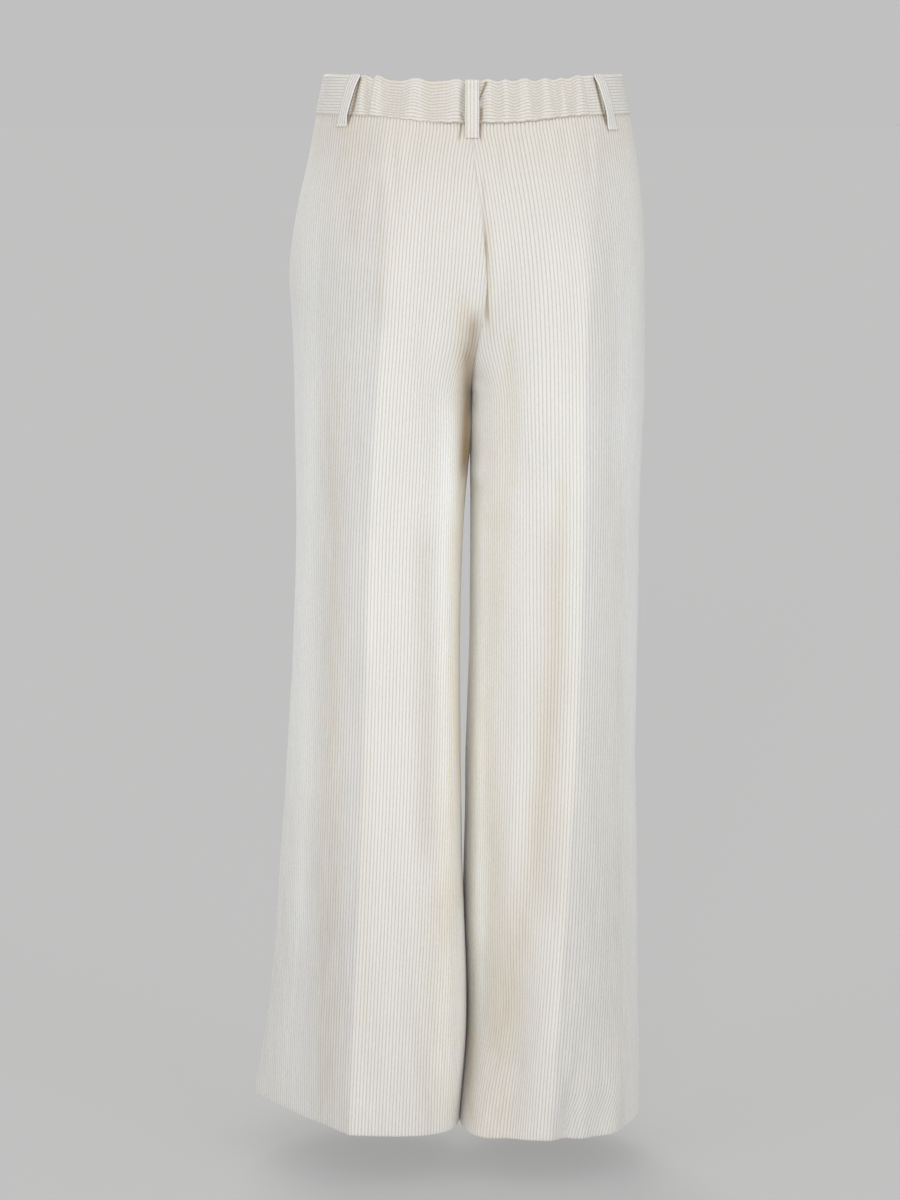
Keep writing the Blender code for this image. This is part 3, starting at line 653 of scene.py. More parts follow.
def quads_of(ids):
    """Faces between the rows of ids, where neighbours may be one vertex."""
    a, b, c, d = ids[:-1, :-1], ids[:-1, 1:], ids[1:, 1:], ids[1:, :-1]
    a, b, c, d = (x.ravel() for x in (a, b, c, d))
    top, foot = a != b, d != c
    quads = np.stack([a, b, c, d], axis=1)[top & foot]
    one = np.stack([a, b, c], axis=1)[top & ~foot]
    other = np.stack([a, c, d], axis=1)[~top & foot]
    return quads, np.concatenate([one, other])


def zip_rows(first, first_at, second, second_at):
    """Triangles between two rows of vertices whose places along the way are given."""
    i = j = 0
    made = []
    while i < len(first) - 1 or j < len(second) - 1:
        if j == len(second) - 1 or (
            i < len(first) - 1 and first_at[i + 1] <= second_at[j + 1]
        ):
            made.append((first[i], first[i + 1], second[j]))
            i += 1
        else:
            made.append((first[i], second[j + 1], second[j]))
            j += 1
    return [t for t in made if len(set(t)) == 3]


def wale_height(phase):
    return np.abs(np.sin(math.pi * phase)) ** WALE_SHAPE


def wale_cuts(first, last, steps):
    return np.array([(k - 0.5 + f) * WALE for k in range(first, last) for f in steps])


def lay_columns(cuts, here, low, high):
    """Columns at the wales' steps, cut off in each row by its two seams, which have their own."""
    rows, edge = len(here), len(EDGE_STEPS)
    columns = len(cuts) + 2 * edge
    ids = np.arange(rows * columns).reshape(rows, columns)
    inside = np.empty((rows, columns))
    on_wale = np.empty((rows, columns))
    margin = EDGE_STEPS[-1] + LEAST_CELL
    for r in range(rows):
        inside[r, :edge] = low[r] + np.array(EDGE_STEPS)
        inside[r, -edge:] = high[r] - np.array(EDGE_STEPS)[::-1]
        inside[r, edge:-edge] = here[r]
        ids[r, np.flatnonzero(here[r] < low[r] + margin) + edge] = ids[r, edge - 1]
        ids[r, np.flatnonzero(here[r] > high[r] - margin) + edge] = ids[r, -edge]
        on_wale[r] = np.interp(np.clip(inside[r], low[r], high[r]), here[r], cuts)
    return ids, np.clip(inside, low[:, None], high[:, None]), on_wale


def painted_shade_of(leg, face, points, from_crease):
    """Shares of painted shade, beige, cool and dark, at points of a panel."""
    x, z = points[..., 0] / MM, points[..., 2] / MM
    tones = np.zeros(points.shape)
    for kind, rows in SHADE_STROKES[leg, face].items():
        for x0, z0, x1, z1, w0, w1, amount in rows:
            share = (z - z0) / (z1 - z0)
            width = w0 + (w1 - w0) * np.clip(share, 0, 1)
            across = bell(x - x0 - share * (x1 - x0), width)
            ends = smooth(-0.08, 0.10, share) * smooth(1.08, 0.90, share)
            tones[..., KINDS.index(kind)] += amount * across * ends
    outer = COOL_LEAST + sum(amount * smooth(a, b, z) for amount, a, b in COOL_OUTSIDE)
    blur = MM * (1 + CREASE_BLUR * smooth(*CREASE_BLUR_HEIGHTS, z))
    tones[..., 1] += outer * smooth(CREASE_SHADE[0] * blur, CREASE_SHADE[1] * blur, from_crease)
    for kind, amount, a, b in SHADE_DOWN:
        tones[..., KINDS.index(kind)] += amount * smooth(a, b, z)
    return tones


def drift(leg, face, z, from_crease):
    """How far the wales have moved off the line of the crease."""
    if face != "back":
        return np.zeros(np.broadcast_shapes(z.shape, from_crease.shape))
    heights, leans = (np.array(c, float) for c in zip(*LEANS[leg]))
    down_here = np.linspace(0, 1100, 1101)
    lean = np.interp(-down_here, heights[::-1], leans[::-1])
    moved = np.cumsum(np.tan(np.radians(lean))) * MM
    moved -= moved[-LEANS[leg][-1][0]]
    shift = np.interp(-z / MM, down_here, moved)
    if leg == "right":
        inner = smooth(-12 * MM, -50 * MM, from_crease)
        middle = sum(FAN_HEIGHTS) / 2
        shift = shift - inner * math.tan(math.radians(FAN)) * (np.clip(z, *FAN_HEIGHTS) - middle)
        outer = smooth(6 * MM, 40 * MM, from_crease)
        below = np.clip(HEM_LEAN_TOP - z, 0.0, None)
        shift = shift - outer * math.tan(math.radians(HEM_LEAN)) * below * smooth(0.0, 0.04, below)
    return shift


def wale_shares(wales):
    """Shares of a width that holds so many wales, at the steps of each."""
    return [(k + f) / wales for k in range(math.ceil(wales)) for f in LEVEL_STEPS]


def flat_uv(across, along):
    """u across the wales and v along them, for every point of a grid."""
    return np.stack(np.broadcast_arrays(across, along), axis=2)


def wale_lift(on_wale, to_edge):
    """How far the wales stand over the cloth, at distances from its edge."""
    return WALE_HIGH * wale_height(on_wale / WALE + 0.5) * smooth(0.0, WALE_END, to_edge)


class Sheet:
    """Rows of vertices on a panel's columns, where neighbours in a row may be one vertex."""

    def __init__(self, ids, outer, point, on_wale, tones):
        self.ids, self.on_wale, self.tones = ids, on_wale, tones
        self.verts = [outer.reshape(-1, 3)]
        self.uv = [np.stack([on_wale, -point[..., 2]], axis=2).reshape(-1, 2)]
        self.paint = [tones.reshape(-1, 3)]
        self.faces = list(quads_of(ids))
        self.count = ids.size

    def add_row(self, points, r, up, shown=1.0):
        """Another row of vertices on the columns of row r."""
        columns = self.ids.shape[1]
        new = self.ids[r] - r * columns + self.count
        self.verts.append(points)
        self.uv.append(np.stack([self.on_wale[r], np.full(columns, up)], axis=1))
        self.paint.append(shown * self.tones[r])
        self.count += columns
        return new

    def mesh(self, name, finish):
        faces = [np.array(f, np.int64).reshape(-1, np.shape(f)[1]) for f in self.faces if len(f)]
        verts, uv, paint = (np.concatenate(part) for part in (self.verts, self.uv, self.paint))
        return add_mesh(name, verts, faces, uv, finish, paint)


def turn_hem(sheet, point, way, wale, lift):
    """The cloth folded inward at its foot, up to a cut edge. Returns its rows from the fold on."""
    fold = len(point) - 1
    down_way = unit(point[fold] - point[fold - 1])
    middle = point[fold] - HEM_THICK / 2 * way[fold]
    foot = -point[fold, 0, 2]
    rows = [sheet.ids[fold]]
    for turn in HEM_TURNS:
        angle = turn * math.pi
        radial = math.cos(angle) * way[fold] + HEM_SQUASH * math.sin(angle) * down_way
        ring = middle + (HEM_THICK / 2 + lift[fold])[:, None] * radial
        rows.append(sheet.add_row(ring, fold, foot + HEM_UV * turn))
    for back in HEM_ROWS_UP:
        r = fold - back
        inward = point[r] - (HEM_THICK + HEM_WALE * wale[r])[:, None] * way[r]
        rows.append(sheet.add_row(inward, r, foot + HEM_UV * (1 + back)))
    top = fold - HEM_ROWS_UP[-1]
    for depth in (HEM_THICK - HEM_EDGE, CLOTH):
        rows.append(sheet.add_row(point[top] - depth * way[top], top, foot))
    for upper, lower in zip(rows, rows[1:]):
        sheet.faces += list(quads_of(np.stack([upper, lower])))
    return rows


def line_inside(sheet, point, way, hem_top, keep):
    """The plain inner side, with fewer rows and columns, from the hem's top up."""
    edge = len(EDGE_STEPS)
    some = list(range(hem_top, -1, -2))
    if some[-1] != 0:
        some.append(0)
    ids = []
    for r in some[1:]:
        new = sheet.add_row(point[r] - CLOTH * way[r], r, -point[r, 0, 2], 0.0)
        row = new[keep].copy()
        row[row == new[edge - 1]] = new[0]
        row[row == new[-edge]] = new[-1]
        ids.append(row)
    sheet.faces += [f[:, ::-1] for f in quads_of(np.array(ids)[::-1])]
    return ids, some[1:]


def close_rims(sheet, inside, hem_rows, inner_ids, inner_rows, keep):
    """Faces from the outer to the inner side along the hem, the top and both seams."""
    fold = len(inside) - 1
    hem_top = fold - HEM_ROWS_UP[-1]
    far = inside[hem_top]
    sheet.faces.append(zip_rows(hem_rows[-1], far, inner_ids[0], far[keep]))
    top = zip_rows(sheet.ids[0], inside[0], inner_ids[-1], inside[0][keep])
    sheet.faces.append([t[::-1] for t in top])
    for column, flip in ((0, False), (-1, True)):
        outside = list(sheet.ids[: hem_top + 1, column])
        within = [row[column] for row in inner_ids[::-1]] + [hem_rows[-1][column]]
        strip = zip_rows(outside, list(range(hem_top + 1)), within, inner_rows[::-1] + [hem_top])
        lower = list(sheet.ids[hem_top:, column]) + [row[column] for row in hem_rows[1:]]
        strip += [(a, b, within[-1]) for a, b in zip(lower, lower[1:])]
        strip = [t for t in strip if len(set(t)) == 3]
        sheet.faces.append([t if flip else t[::-1] for t in strip])


def make_panel(leg, face, grid, normals, finish):
    """One panel with its wales, seam edges, turned hem and plain inner side."""
    along = lengths(grid)
    along = along - along[:, PLACES:PLACES + 1]
    low, high = along[:, 0], along[:, -1]
    first, last = math.floor(low.min() / WALE) - 1, math.ceil(high.max() / WALE) + 1
    cuts = wale_cuts(first, last, WALE_STEPS[face])
    moved = drift(leg, face, grid[:, PLACES, 2][:, None], cuts[None, :])
    ids, inside, on_wale = lay_columns(cuts, cuts[None, :] + moved, low, high)
    point = at_lengths(grid, along, inside)
    way = unit(at_lengths(normals, along, inside))
    to_edge = np.minimum(inside - low[:, None], high[:, None] - inside)
    wobble = WOBBLE * np.sin(inside * WOBBLE_ACROSS + ROWS[:, None] * WOBBLE_DOWN)
    wale = wale_lift(on_wale, to_edge) * (1 + wobble)
    roll = ROLL * fade(to_edge, ROLL_REACH)
    outer = point + (wale - roll)[..., None] * way
    for r, share in enumerate(TOP_ROLL):
        outer[r] -= share * ROLL * way[r]
    # Painted shade of the panel, with painted shadow in the grooves of the top rows at the back
    tones = painted_shade_of(leg, face, point, inside)
    if face == "back":
        for r, amount in enumerate(TOP_SHADOW):
            tones[r, :, 2] += amount * (1 - wale_height(on_wale[r] / WALE + 0.5))

    sheet = Sheet(ids, outer, point, on_wale, tones)
    hem_rows = turn_hem(sheet, point, way, wale, wale - roll)
    edge, columns = len(EDGE_STEPS), ids.shape[1]
    between = np.arange(edge, columns - edge, len(WALE_STEPS[face]))
    keep = np.concatenate([[0], between, [columns - 1]])
    hem_top = len(ids) - 1 - HEM_ROWS_UP[-1]
    inner_ids, inner_rows = line_inside(sheet, point, way, hem_top, keep)
    close_rims(sheet, inside, hem_rows, inner_ids, inner_rows, keep)
    return sheet.mesh(f"{face}_{leg}_cloth", finish)


def make_wall(name, outer, inner, uv, finish, tones=None, index=None):
    """A closed wall between two grids of points, joined round the rim."""
    rows, columns = outer.shape[:2]
    count = rows * columns
    if index is None:
        index = np.arange(count).reshape(rows, columns)
    faces = list(quads_of(index)) + [f[:, ::-1] + count for f in quads_of(index)]
    rim = np.concatenate([index[0, :], index[1:, -1], index[-1, -2::-1], index[-2:0:-1, 0]])
    rim = rim[rim != np.roll(rim, -1)]
    after = np.roll(rim, -1)
    sides = np.stack([after, rim, rim + count, after + count], axis=1)
    verts = np.concatenate([outer.reshape(-1, 3), inner.reshape(-1, 3)])
    flat = uv.reshape(-1, 2)
    if tones is not None:
        tones = np.concatenate([tones.reshape(-1, 3)] * 2)
    faces.append(sides)
    return add_mesh(name, verts, faces, np.concatenate([flat, flat]), finish, tones)


# Waistband

BAND_WALES = 13.5
BAND_WALE_HIGH = 0.00072
BAND_ROLL_REACH = 0.0008
BAND_END_ROLL = 0.0009  # how deep, and how far along, the band's ends turn in
BAND_ROUND = 0.07  # share of the height that is rounded at the top
BAND_TOP_RISE = 0.0003
BAND_GAP = 0.0006  # between the back and the front stretches, in places
BACK_CELLS, FRONT_CELLS = 231, 140
UNDERLAP_FROM = 0.016
UNDERLAP = (0.0135, -0.030, 18)  # x at both ends, and how many places between them
STEP_IN = (0.0145, 0.0065)  # x between which the underlap goes under the right front
UNDERLAP_DEEP = BAND_CLOTH + 0.0006
WAVE_DRAW = 1.45  # the waves are drawn this much higher than their table says
BULGE = 0.0034  # how far the band puffs out between two gathers
RIPPLE, RIPPLE_TURN = 0.0003, 1500
SHADE_DEEP = 0.0016  # how deep the darkest shadow line is pressed in
BAND_TOP_ROUND = ((0.955, 0.00022), (0.978, 0.0006), (0.992, 0.0011), (1.0, 0.0015))
# Crests and dips of the gathered wales along the back, by x in mm: how far up they are drawn, in mm
WAVES = (
    (148, 0.0), (128, -0.2), (121, -0.5), (114, 1.3), (106, -1.4), (101, 2.3), (87, -1.3),
    (75, -1.4), (60, 1.7), (42, -1.5), (29, -0.6), (16, 1.5), (6, -1.3), (-6, -0.7),
    (-17, 1.2), (-27, -1.1), (-35, 0.9), (-43, -1.0), (-56, 1.6), (-66.5, -1.4),
    (-76.5, 1.3), (-87.5, -1.2), (-93.5, 0.6), (-102, -1.3), (-110.5, 1.2), (-120, -0.3),
    (-130, 0.1), (-142, 0.4), (-150, 0.0),
)


def wave(x):
    """Height of the waves at x, on smooth half waves between the crests and dips."""
    xs = np.array([row[0] for row in WAVES][::-1], float) * MM
    ups = np.array([row[1] for row in WAVES][::-1])
    i = np.clip(np.searchsorted(xs, x) - 1, 0, len(xs) - 2)
    f = np.clip((x - xs[i]) / (xs[i + 1] - xs[i]), 0.0, 1.0)
    return (ups[i] + (ups[i + 1] - ups[i]) * (1 - np.cos(f * math.pi)) / 2) * MM


def panel_at(place):
    leg = "left" if place >= 0 else "right"
    if abs(place) <= 1:
        return leg, "back", abs(place)
    return leg, "front", max(0.0, 2 - abs(place))


def ring_place(place, z):
    leg, face, to_side = panel_at(place)
    heights = np.array([z])
    side, depth = section(leg + "_out", heights), PLUS_Y[face] * section(face, heights)
    zero = np.zeros(1)
    curve = quarters((zero, depth), (side, zero), np.array([RING_FULLNESS]))
    along = lengths(curve)
    return at_lengths(curve, along, np.array([[along[0, -1] * to_side]]))[0, 0]


def band_frame(place):
    """Foot and top of the band's outer face at a place, and the way out."""
    step = 0.01
    _, face, to_side = panel_at(place)
    foot_z = float(WAIST_SEAM - waist_dip(face, to_side))
    here = ring_place(place, foot_z)
    ahead = ring_place(place + step, foot_z) - ring_place(place - step, foot_z)
    out = unit(np.array([ahead[1], -ahead[0], 0.0]))
    out *= np.sign(out[:2] @ here)
    foot = np.array([here[0], here[1], foot_z]) + BAND_PROUD * out
    top_xy = here * (1 - BAND_LEAN)
    top_z = foot_z + BAND_HEIGHT - TOP_DIP * float(smooth(DIP_START, DIP_FULL, abs(place)))
    top = np.array([top_xy[0], top_xy[1], top_z]) + BAND_PROUD * out
    foot[2] += seam_rise(face, to_side)
    return foot, top, out


def front_place(x):
    side = math.copysign(1.0, x)
    tries = np.linspace(1.5, 2.0, 201)
    reached = np.array([ring_place(side * place, WAIST_SEAM)[0] for place in tries])
    return side * float(tries[int(np.argmin(np.abs(reached - x)))])


def band_rows():
    """Shares of the band's height, with the steps of each wale."""
    steps = [t for t in wale_shares(BAND_WALES) if 0.012 < t < 0.945]
    return np.array([0.0, 0.004, 0.010] + steps + [t for t, _ in BAND_TOP_ROUND])


# Shadow lines of the band: points and half widths at both ends, and how strong
BAND_SHADES = (
    ((-0.0135, 0.0130), (-0.0072, -0.0030), 0.0018, 0.0005, 0.95),
    ((0.0105, -0.0170), (0.0085, -0.0245), 0.0012, 0.0012, 0.5),
    ((-0.0090, -0.0120), (-0.0085, -0.0245), 0.0011, 0.0013, 0.8),
    ((0.1134, 0.0175), (0.1222, -0.0190), 0.0014, 0.0011, 0.95),
    ((-0.1238, 0.0175), (-0.1328, -0.0190), 0.0014, 0.0011, 0.95),
)


def shaded(points, waved):
    """Painted shade of the band's outer face: a beige tint, greyer toward the sides, darker in the
    dips of the gathers, the shadow lines beside the centre loop and the side loops, and along its
    foot.
    """
    tones = np.zeros(points.shape)
    tones[..., 0] = 0.35
    if not waved:
        tones[..., 1] = 0.5
        return tones
    x, z = points[..., 0], points[..., 2]
    tones[..., 1] = smooth(0.095, 0.150, np.abs(x)) * 0.6
    in_dip = smooth(0.5 * MM, -1.3 * MM, wave(x)) * smooth(0.13, 0.11, np.abs(x))
    tones[..., 2] = 0.08 + 0.14 * in_dip
    for (x0, z0), (x1, z1), w0, w1, amount in BAND_SHADES:
        share = np.clip((z - z0) / (z1 - z0), 0, 1)
        away = np.hypot(x - x0 - share * (x1 - x0), z - z0 - share * (z1 - z0))
        tones[..., 2] += amount * bell(away, w0 + share * (w1 - w0))
    foot = fade(np.arange(len(points)), 1.2)[:, None]
    tones[..., 2] += 0.35 * foot * (0.5 + 0.5 * np.sin(x * 2 * math.pi / WALE))
    return tones


def make_band(name, frames, moves, finish, waved):
    """A stretch of the band: its wales lie level, and on the elastic they are drawn into waves."""
    t = band_rows()
    foot, top, out = (np.array(column) for column in zip(*frames))
    moves = np.asarray(moves)
    shares, depths = zip((1 - BAND_ROUND, 0.0), *BAND_TOP_ROUND)
    round_top = np.interp(t, shares, depths)  # how far in the rounded top edge lies
    roll = (ROLL + BAND_PROUD) * fade(t * BAND_HEIGHT, BAND_ROLL_REACH)
    grid = foot[None] + t[:, None, None] * (top - foot)[None]
    far = lengths(np.stack([foot, foot]))[0]
    ends = np.minimum(far, far[-1] - far)
    end_roll = BAND_END_ROLL * fade(ends, BAND_END_ROLL)
    wale = BAND_WALE_HIGH * wale_height(t * BAND_WALES)
    wale *= smooth(0.0, 0.03, t) * smooth(1.0, 0.95, t)
    up = np.zeros(len(frames))
    bulge = np.zeros(len(frames))
    if waved:
        up = WAVE_DRAW * wave(foot[:, 0])
        puffed = smooth(-1.8 * MM, 2.2 * MM, up) * smooth(0.148, 0.135, np.abs(foot[:, 0]))
        bulge = BULGE * puffed + RIPPLE * np.sin(foot[:, 0] * RIPPLE_TURN)
        grid[..., 2] += smooth(0.30, 0.0, t)[:, None] * gathered(foot[:, 0])[None]
    draw = smooth(0.0, 0.40, t) * (1 - 0.35 * smooth(0.8, 1.0, t))
    belly = 0.30 + 0.70 * np.sin(np.clip(t, 0, 1) * math.pi) ** 0.7
    grid[..., 2] += draw[:, None] * up[None]
    lift = moves[None] + belly[:, None] * bulge[None] * smooth(0.0, 0.05, t)[:, None]
    slope = out[None] * np.ones((len(t), 1, 1))
    outer_at = lift + (wale - round_top - roll)[:, None] - end_roll[None]
    inner_at = lift - BAND_CLOTH + (round_top * 0.85)[:, None] - 0.5 * wale[:, None]
    inner_at = inner_at + 0.6 * end_roll[None]
    if waved:
        dark = np.clip(shaded(grid, True)[..., 2], 0, 1)
        outer_at = outer_at - SHADE_DEEP * dark * (t > 0.1)[:, None]
    outer = grid + outer_at[..., None] * slope
    inner = grid + inner_at[..., None] * slope
    tones = shaded(outer, waved)
    rounded = np.clip((t - 1 + BAND_ROUND) / BAND_ROUND, 0, 1)
    outer[..., 2] += (np.sin(rounded * math.pi / 2) * BAND_TOP_RISE)[:, None]
    uv = flat_uv((t * BAND_WALES * WALE)[:, None], far[None])
    return make_wall(name, outer[::-1], inner[::-1], uv[::-1], finish, tones[::-1])


# Belt loops

LOOPS = (
    ("belt_loop_back", 0.000, 0.0145, 0.0),
    ("belt_loop_side_left", 0.668, 0.0116, -0.0120),
    ("belt_loop_side_right", -0.720, 0.0150, 0.0120),
    ("belt_loop_front_left", 1.560, 0.0120, 0.0),
    ("belt_loop_front_right", -1.560, 0.0120, 0.0),
)
LOOP_WIDTH = 0.0140
LOOP_CLOTH = 0.0018
LOOP_HEAD = 0.0005
LOOP_STAND = {"belt_loop_back": 0.0040}
SIDE_LOOP_STAND = 0.0024
LOOP_TIP = 0.0019  # a side loop's edge nearer the centre stands this much further off
LOOP_STATIONS = (
    (1.00, 0.00), (0.89, 0.12), (0.72, 0.95), (0.48, 1.10),
    (0.16, 1.00), (-0.30, 0.75), (-0.72, 0.14), (-1.00, 0.00),
)
LOOP_WALES, LOOP_CELLS = 4, 44
LOOP_WALE_HIGH = 0.0005
LOOP_SEAT = 0.0007  # clearance over the panel, and over the band
LOOP_CLEAR = 0.0003
BACK_LOOP_CLEAR = 0.0025  # the gathered band bulges under it
LOOP_PULL, LOOP_PULL_REACH = 0.0007, 0.0006  # how the long edges turn in
LOOP_END, LOOP_END_REACH = 0.0006, 0.0008  # and the ends
BAR_DEEP, BAR_IN, BAR_WIDE = 0.0005, 0.0035, 0.0009  # the bar stitched across each end


def panel_out(place, height):
    foot, _, out = band_frame(place)
    return float((ring_place(place, foot[2] + height) - foot[:2]) @ out[:2])


def spline(points, cells):
    """A smooth curve through points, with cells equal steps."""
    points = np.asarray(points, float)
    ends = np.concatenate([[2 * points[0] - points[1]], points, [2 * points[-1] - points[-2]]])
    dense = []
    for k in range(len(points) - 1):
        a, b, c, d = ends[k:k + 4]
        f = np.linspace(0, 1, 12, endpoint=False)[:, None]
        dense.append(0.5 * (2 * b + (c - a) * f + (2 * a - 5 * b + 4 * c - d) * f**2
                            + (3 * b - a - 3 * c + d) * f**3))
    dense = np.concatenate(dense + [points[-1:]])[None]
    along = lengths(dense)
    return at_lengths(dense, along, np.linspace(0, along[0, -1], cells + 1)[None])[0]


def make_loop(name, place, tail, lean, finish):
    foot, top, out = band_frame(place)
    onward = unit(np.array([out[1], -out[0], 0.0]))
    head = top[2] - foot[2] + LOOP_HEAD
    tilt = float((top - foot) @ out)
    clear = LOOP_CLEAR if place else BACK_LOOP_CLEAR
    most = LOOP_STAND.get(name, SIDE_LOOP_STAND)
    path = []
    for up, stand in LOOP_STATIONS:
        height = up * (head if up > 0 else tail)
        behind = tilt * up + clear if up > 0 else panel_out(place, height) + LOOP_SEAT
        path.append((behind + stand * most, height))
    path = spline(path, LOOP_CELLS)
    along = unit(np.gradient(path, axis=0))
    away = np.column_stack([-along[:, 1], along[:, 0]])
    away *= np.sign(away[:, :1])
    rise = (path[:, 1] + tail) / (path[0, 1] + tail)
    steps = [s for s in wale_shares(LOOP_WALES) if 0.02 < s < 0.98]
    u = np.array([0.0, 0.012] + steps + [0.988, 1.0])
    edge = np.minimum(u, 1 - u) * LOOP_WIDTH
    wale = LOOP_WALE_HIGH * wale_height(u * LOOP_WALES) * smooth(0.0, 0.0010, edge)
    pull = LOOP_PULL * fade(edge, LOOP_PULL_REACH)
    far = lengths(path[None])[0]
    end = np.minimum(far, far[-1] - far)
    end_pull = LOOP_END * fade(end, LOOP_END_REACH)
    bar = BAR_DEEP * bell(end - BAR_IN, BAR_WIDE)
    toward = np.sign(place)
    standing = np.interp(path[:, 1], (-tail * 0.8, 0.0, head * 0.8), (0.0, 1.0, 0.3))
    tip = -toward * LOOP_TIP * standing[:, None] * (2 * u - 1)[None]
    grids = []
    for lift, sign in ((LOOP_CLOTH, 1.0), (0.0, -1.0)):
        grid = np.empty((len(path), len(u), 3))
        for i in range(len(path)):
            amount = lift + sign * (-pull - end_pull[i])
            if sign > 0:
                amount = amount + wale - bar[i]
            distance = path[i, 0] + amount * away[i, 0] + tip[i]
            height = path[i, 1] + amount * away[i, 1]
            centre = foot + rise[i] * lean * onward
            grid[i] = (centre[None] + distance[:, None] * out[None]
                       + ((u - 0.5) * LOOP_WIDTH)[:, None] * onward[None])
            grid[i, :, 2] += height
        grids.append(grid)
    uv = flat_uv((u * LOOP_WALES * WALE)[None], far[:, None])
    # Painted shade of the loops: a little beige, greyer on the side loops, and a touch of dark,
    # more on the back loop
    tones = np.zeros(grids[0].shape)
    tones[..., 0] = 0.15
    tones[..., 1] = 0.35 if toward else 0.0
    tones[..., 2] = 0.02 if toward else 0.06
    return make_wall(name + "_cloth", grids[0], grids[1], uv, finish, tones)


# Fly

FLY_TOP = WAIST_SEAM - FRONT_DIP - 0.0012
FLY_REACH = -0.26  # height down to which the fronts carry the fly
FLY_WIDTH = 0.0380
FLY_LENGTH = 0.1700
FLY_CLOTH = 0.0014
FLY_LIFT = 0.0008
FLY_BEND = 0.72  # below this share of its length the placket curves in to its foot
FLY_TIP = 0.06
FLY_END = 0.99
BESIDE_SEAM = 0.0012  # rays nearer the centre seam are cast this far beside it
FLY_STITCH_IN = 0.0035
ZIP_WIDTH = 0.0260
ZIP_CLOTH = 0.0009
ZIP_INSET = 0.0060
ZIP_DEEP = 0.0028  # the tape lies this far inside the fronts' outer face
COIL_PITCH = 0.0014
COIL_HALF = 0.0017
COIL_RADIUS = 0.0005
BUTTON_X = -0.0110
BUTTON_THICK = 0.0028
BUTTON_STAND = 0.0006
BUTTON_HOLE_AT = 0.0019
SLIT = (-0.0095, -0.0285)  # x at the ends of the buttonhole
SLIT_LIP = 0.0020
THREAD = 0.00024
STITCH, STITCH_GAP = 0.0027, 0.0010
HOLE_PITCH = 0.0006
SLIT_HALF = 0.0004


def front_trees(panels):
    trees = {}
    for leg in PLUS_X:
        grid = panels[leg, "front"][ROWS > FLY_REACH, :PLACES]
        ids = np.arange(grid[..., 0].size).reshape(grid.shape[:2])
        trees[leg] = BVHTree.FromPolygons(grid.reshape(-1, 3).tolist(), quads_of(ids)[0].tolist())
    return trees


def on_front(trees, x, z):
    """Point and way out on the fronts' smooth outer face at x, z."""
    beside = math.copysign(max(abs(x), BESIDE_SEAM), x)
    tree = trees["left" if beside > 0 else "right"]
    point, out, _, _ = tree.ray_cast(Vector((beside, -1.0, z)), Vector((0.0, 1.0, 0.0)))
    return (x, point.y, z), tuple(out if out.y < 0 else -out)


def fronts_at(trees, xs, heights):
    found = np.array([[on_front(trees, x, z) for x in row] for row, z in zip(xs, heights)])
    return found[:, :, 0], found[:, :, 1]


def placket_width(share):
    past_bend = np.clip((share - FLY_BEND) / (1 - FLY_BEND), 0.0, 1.0)
    return FLY_WIDTH * (1 - (1 - np.sqrt(1 - past_bend**2)) * (1 - FLY_TIP))


def placket_shares():
    turns = np.linspace(0.0, math.asin((FLY_END - FLY_BEND) / (1 - FLY_BEND)), 26)[1:]
    curved = FLY_BEND + (1 - FLY_BEND) * np.sin(turns)
    return np.concatenate([[0.0, 0.003, 0.008], np.linspace(0.0, FLY_BEND, 34)[1:], curved])


def make_placket(trees, finish):
    shares = placket_shares()
    heights = FLY_TOP - FLY_LENGTH * shares
    low, high = FLY_EDGE - placket_width(shares), np.full(len(shares), FLY_EDGE)
    cuts = wale_cuts(math.floor(low.min() / WALE) - 1, 3, WALE_STEPS["back"])
    ids, inside, on_wale = lay_columns(cuts, np.tile(cuts, (len(shares), 1)), low, high)
    point, out = fronts_at(trees, inside, heights)
    ends = np.minimum(heights[0] - heights, heights - heights[-1])[:, None]
    to_edge = np.minimum(np.minimum(inside - low[:, None], high[:, None] - inside), ends)
    wale = wale_lift(on_wale, to_edge)
    roll = ROLL * fade(to_edge, ROLL_REACH)
    outer = point + (FLY_LIFT + FLY_CLOTH + wale - roll)[..., None] * out
    inner = point + FLY_LIFT * out
    uv = np.stack([on_wale, -point[..., 2]], axis=2)
    # Painted shade from the right front's strokes, as just inside its crease
    tones = painted_shade_of("right", "front", point, np.full(inside.shape, -0.05))
    return make_wall("fly_placket_cloth", outer, inner, uv, finish, tones, ids)


def make_tape(trees, finish):
    heights = np.linspace(FLY_TOP - ZIP_INSET, FLY_TOP - FLY_LENGTH + ZIP_INSET, 60)
    xs = np.tile(np.linspace(-ZIP_WIDTH / 2, ZIP_WIDTH / 2, 15), (len(heights), 1))
    point, out = fronts_at(trees, xs, heights)
    outer = point - ZIP_DEEP * out
    inner = outer - ZIP_CLOTH * out
    uv = np.stack([xs, point[..., 2]], axis=2)
    return make_wall("fly_zip_cloth", outer, inner, uv, finish)


def bars_along(points, outs, length, gap):
    """Bars of thread one after another on a line over the cloth."""
    points, outs = np.asarray(points)[None], np.asarray(outs)[None]
    along = lengths(points)
    starts = np.arange(gap / 2, along[0, -1] - length, length + gap)
    first = at_lengths(points, along, starts[None])[0]
    last = at_lengths(points, along, starts[None] + length)[0]
    way = at_lengths(outs, along, starts[None] + length / 2)[0]
    return list(zip(first, last, way))


# Rings of a bar: share of its length, and how wide and how high it is there, in radii
BAR_RINGS = (
    (0.0, 0.4, -0.4), (0.14, 0.95, 0.3), (0.5, 1.0, 0.5), (0.86, 0.95, 0.3), (1.0, 0.4, -0.4),
)
BAR_SIDES = 6


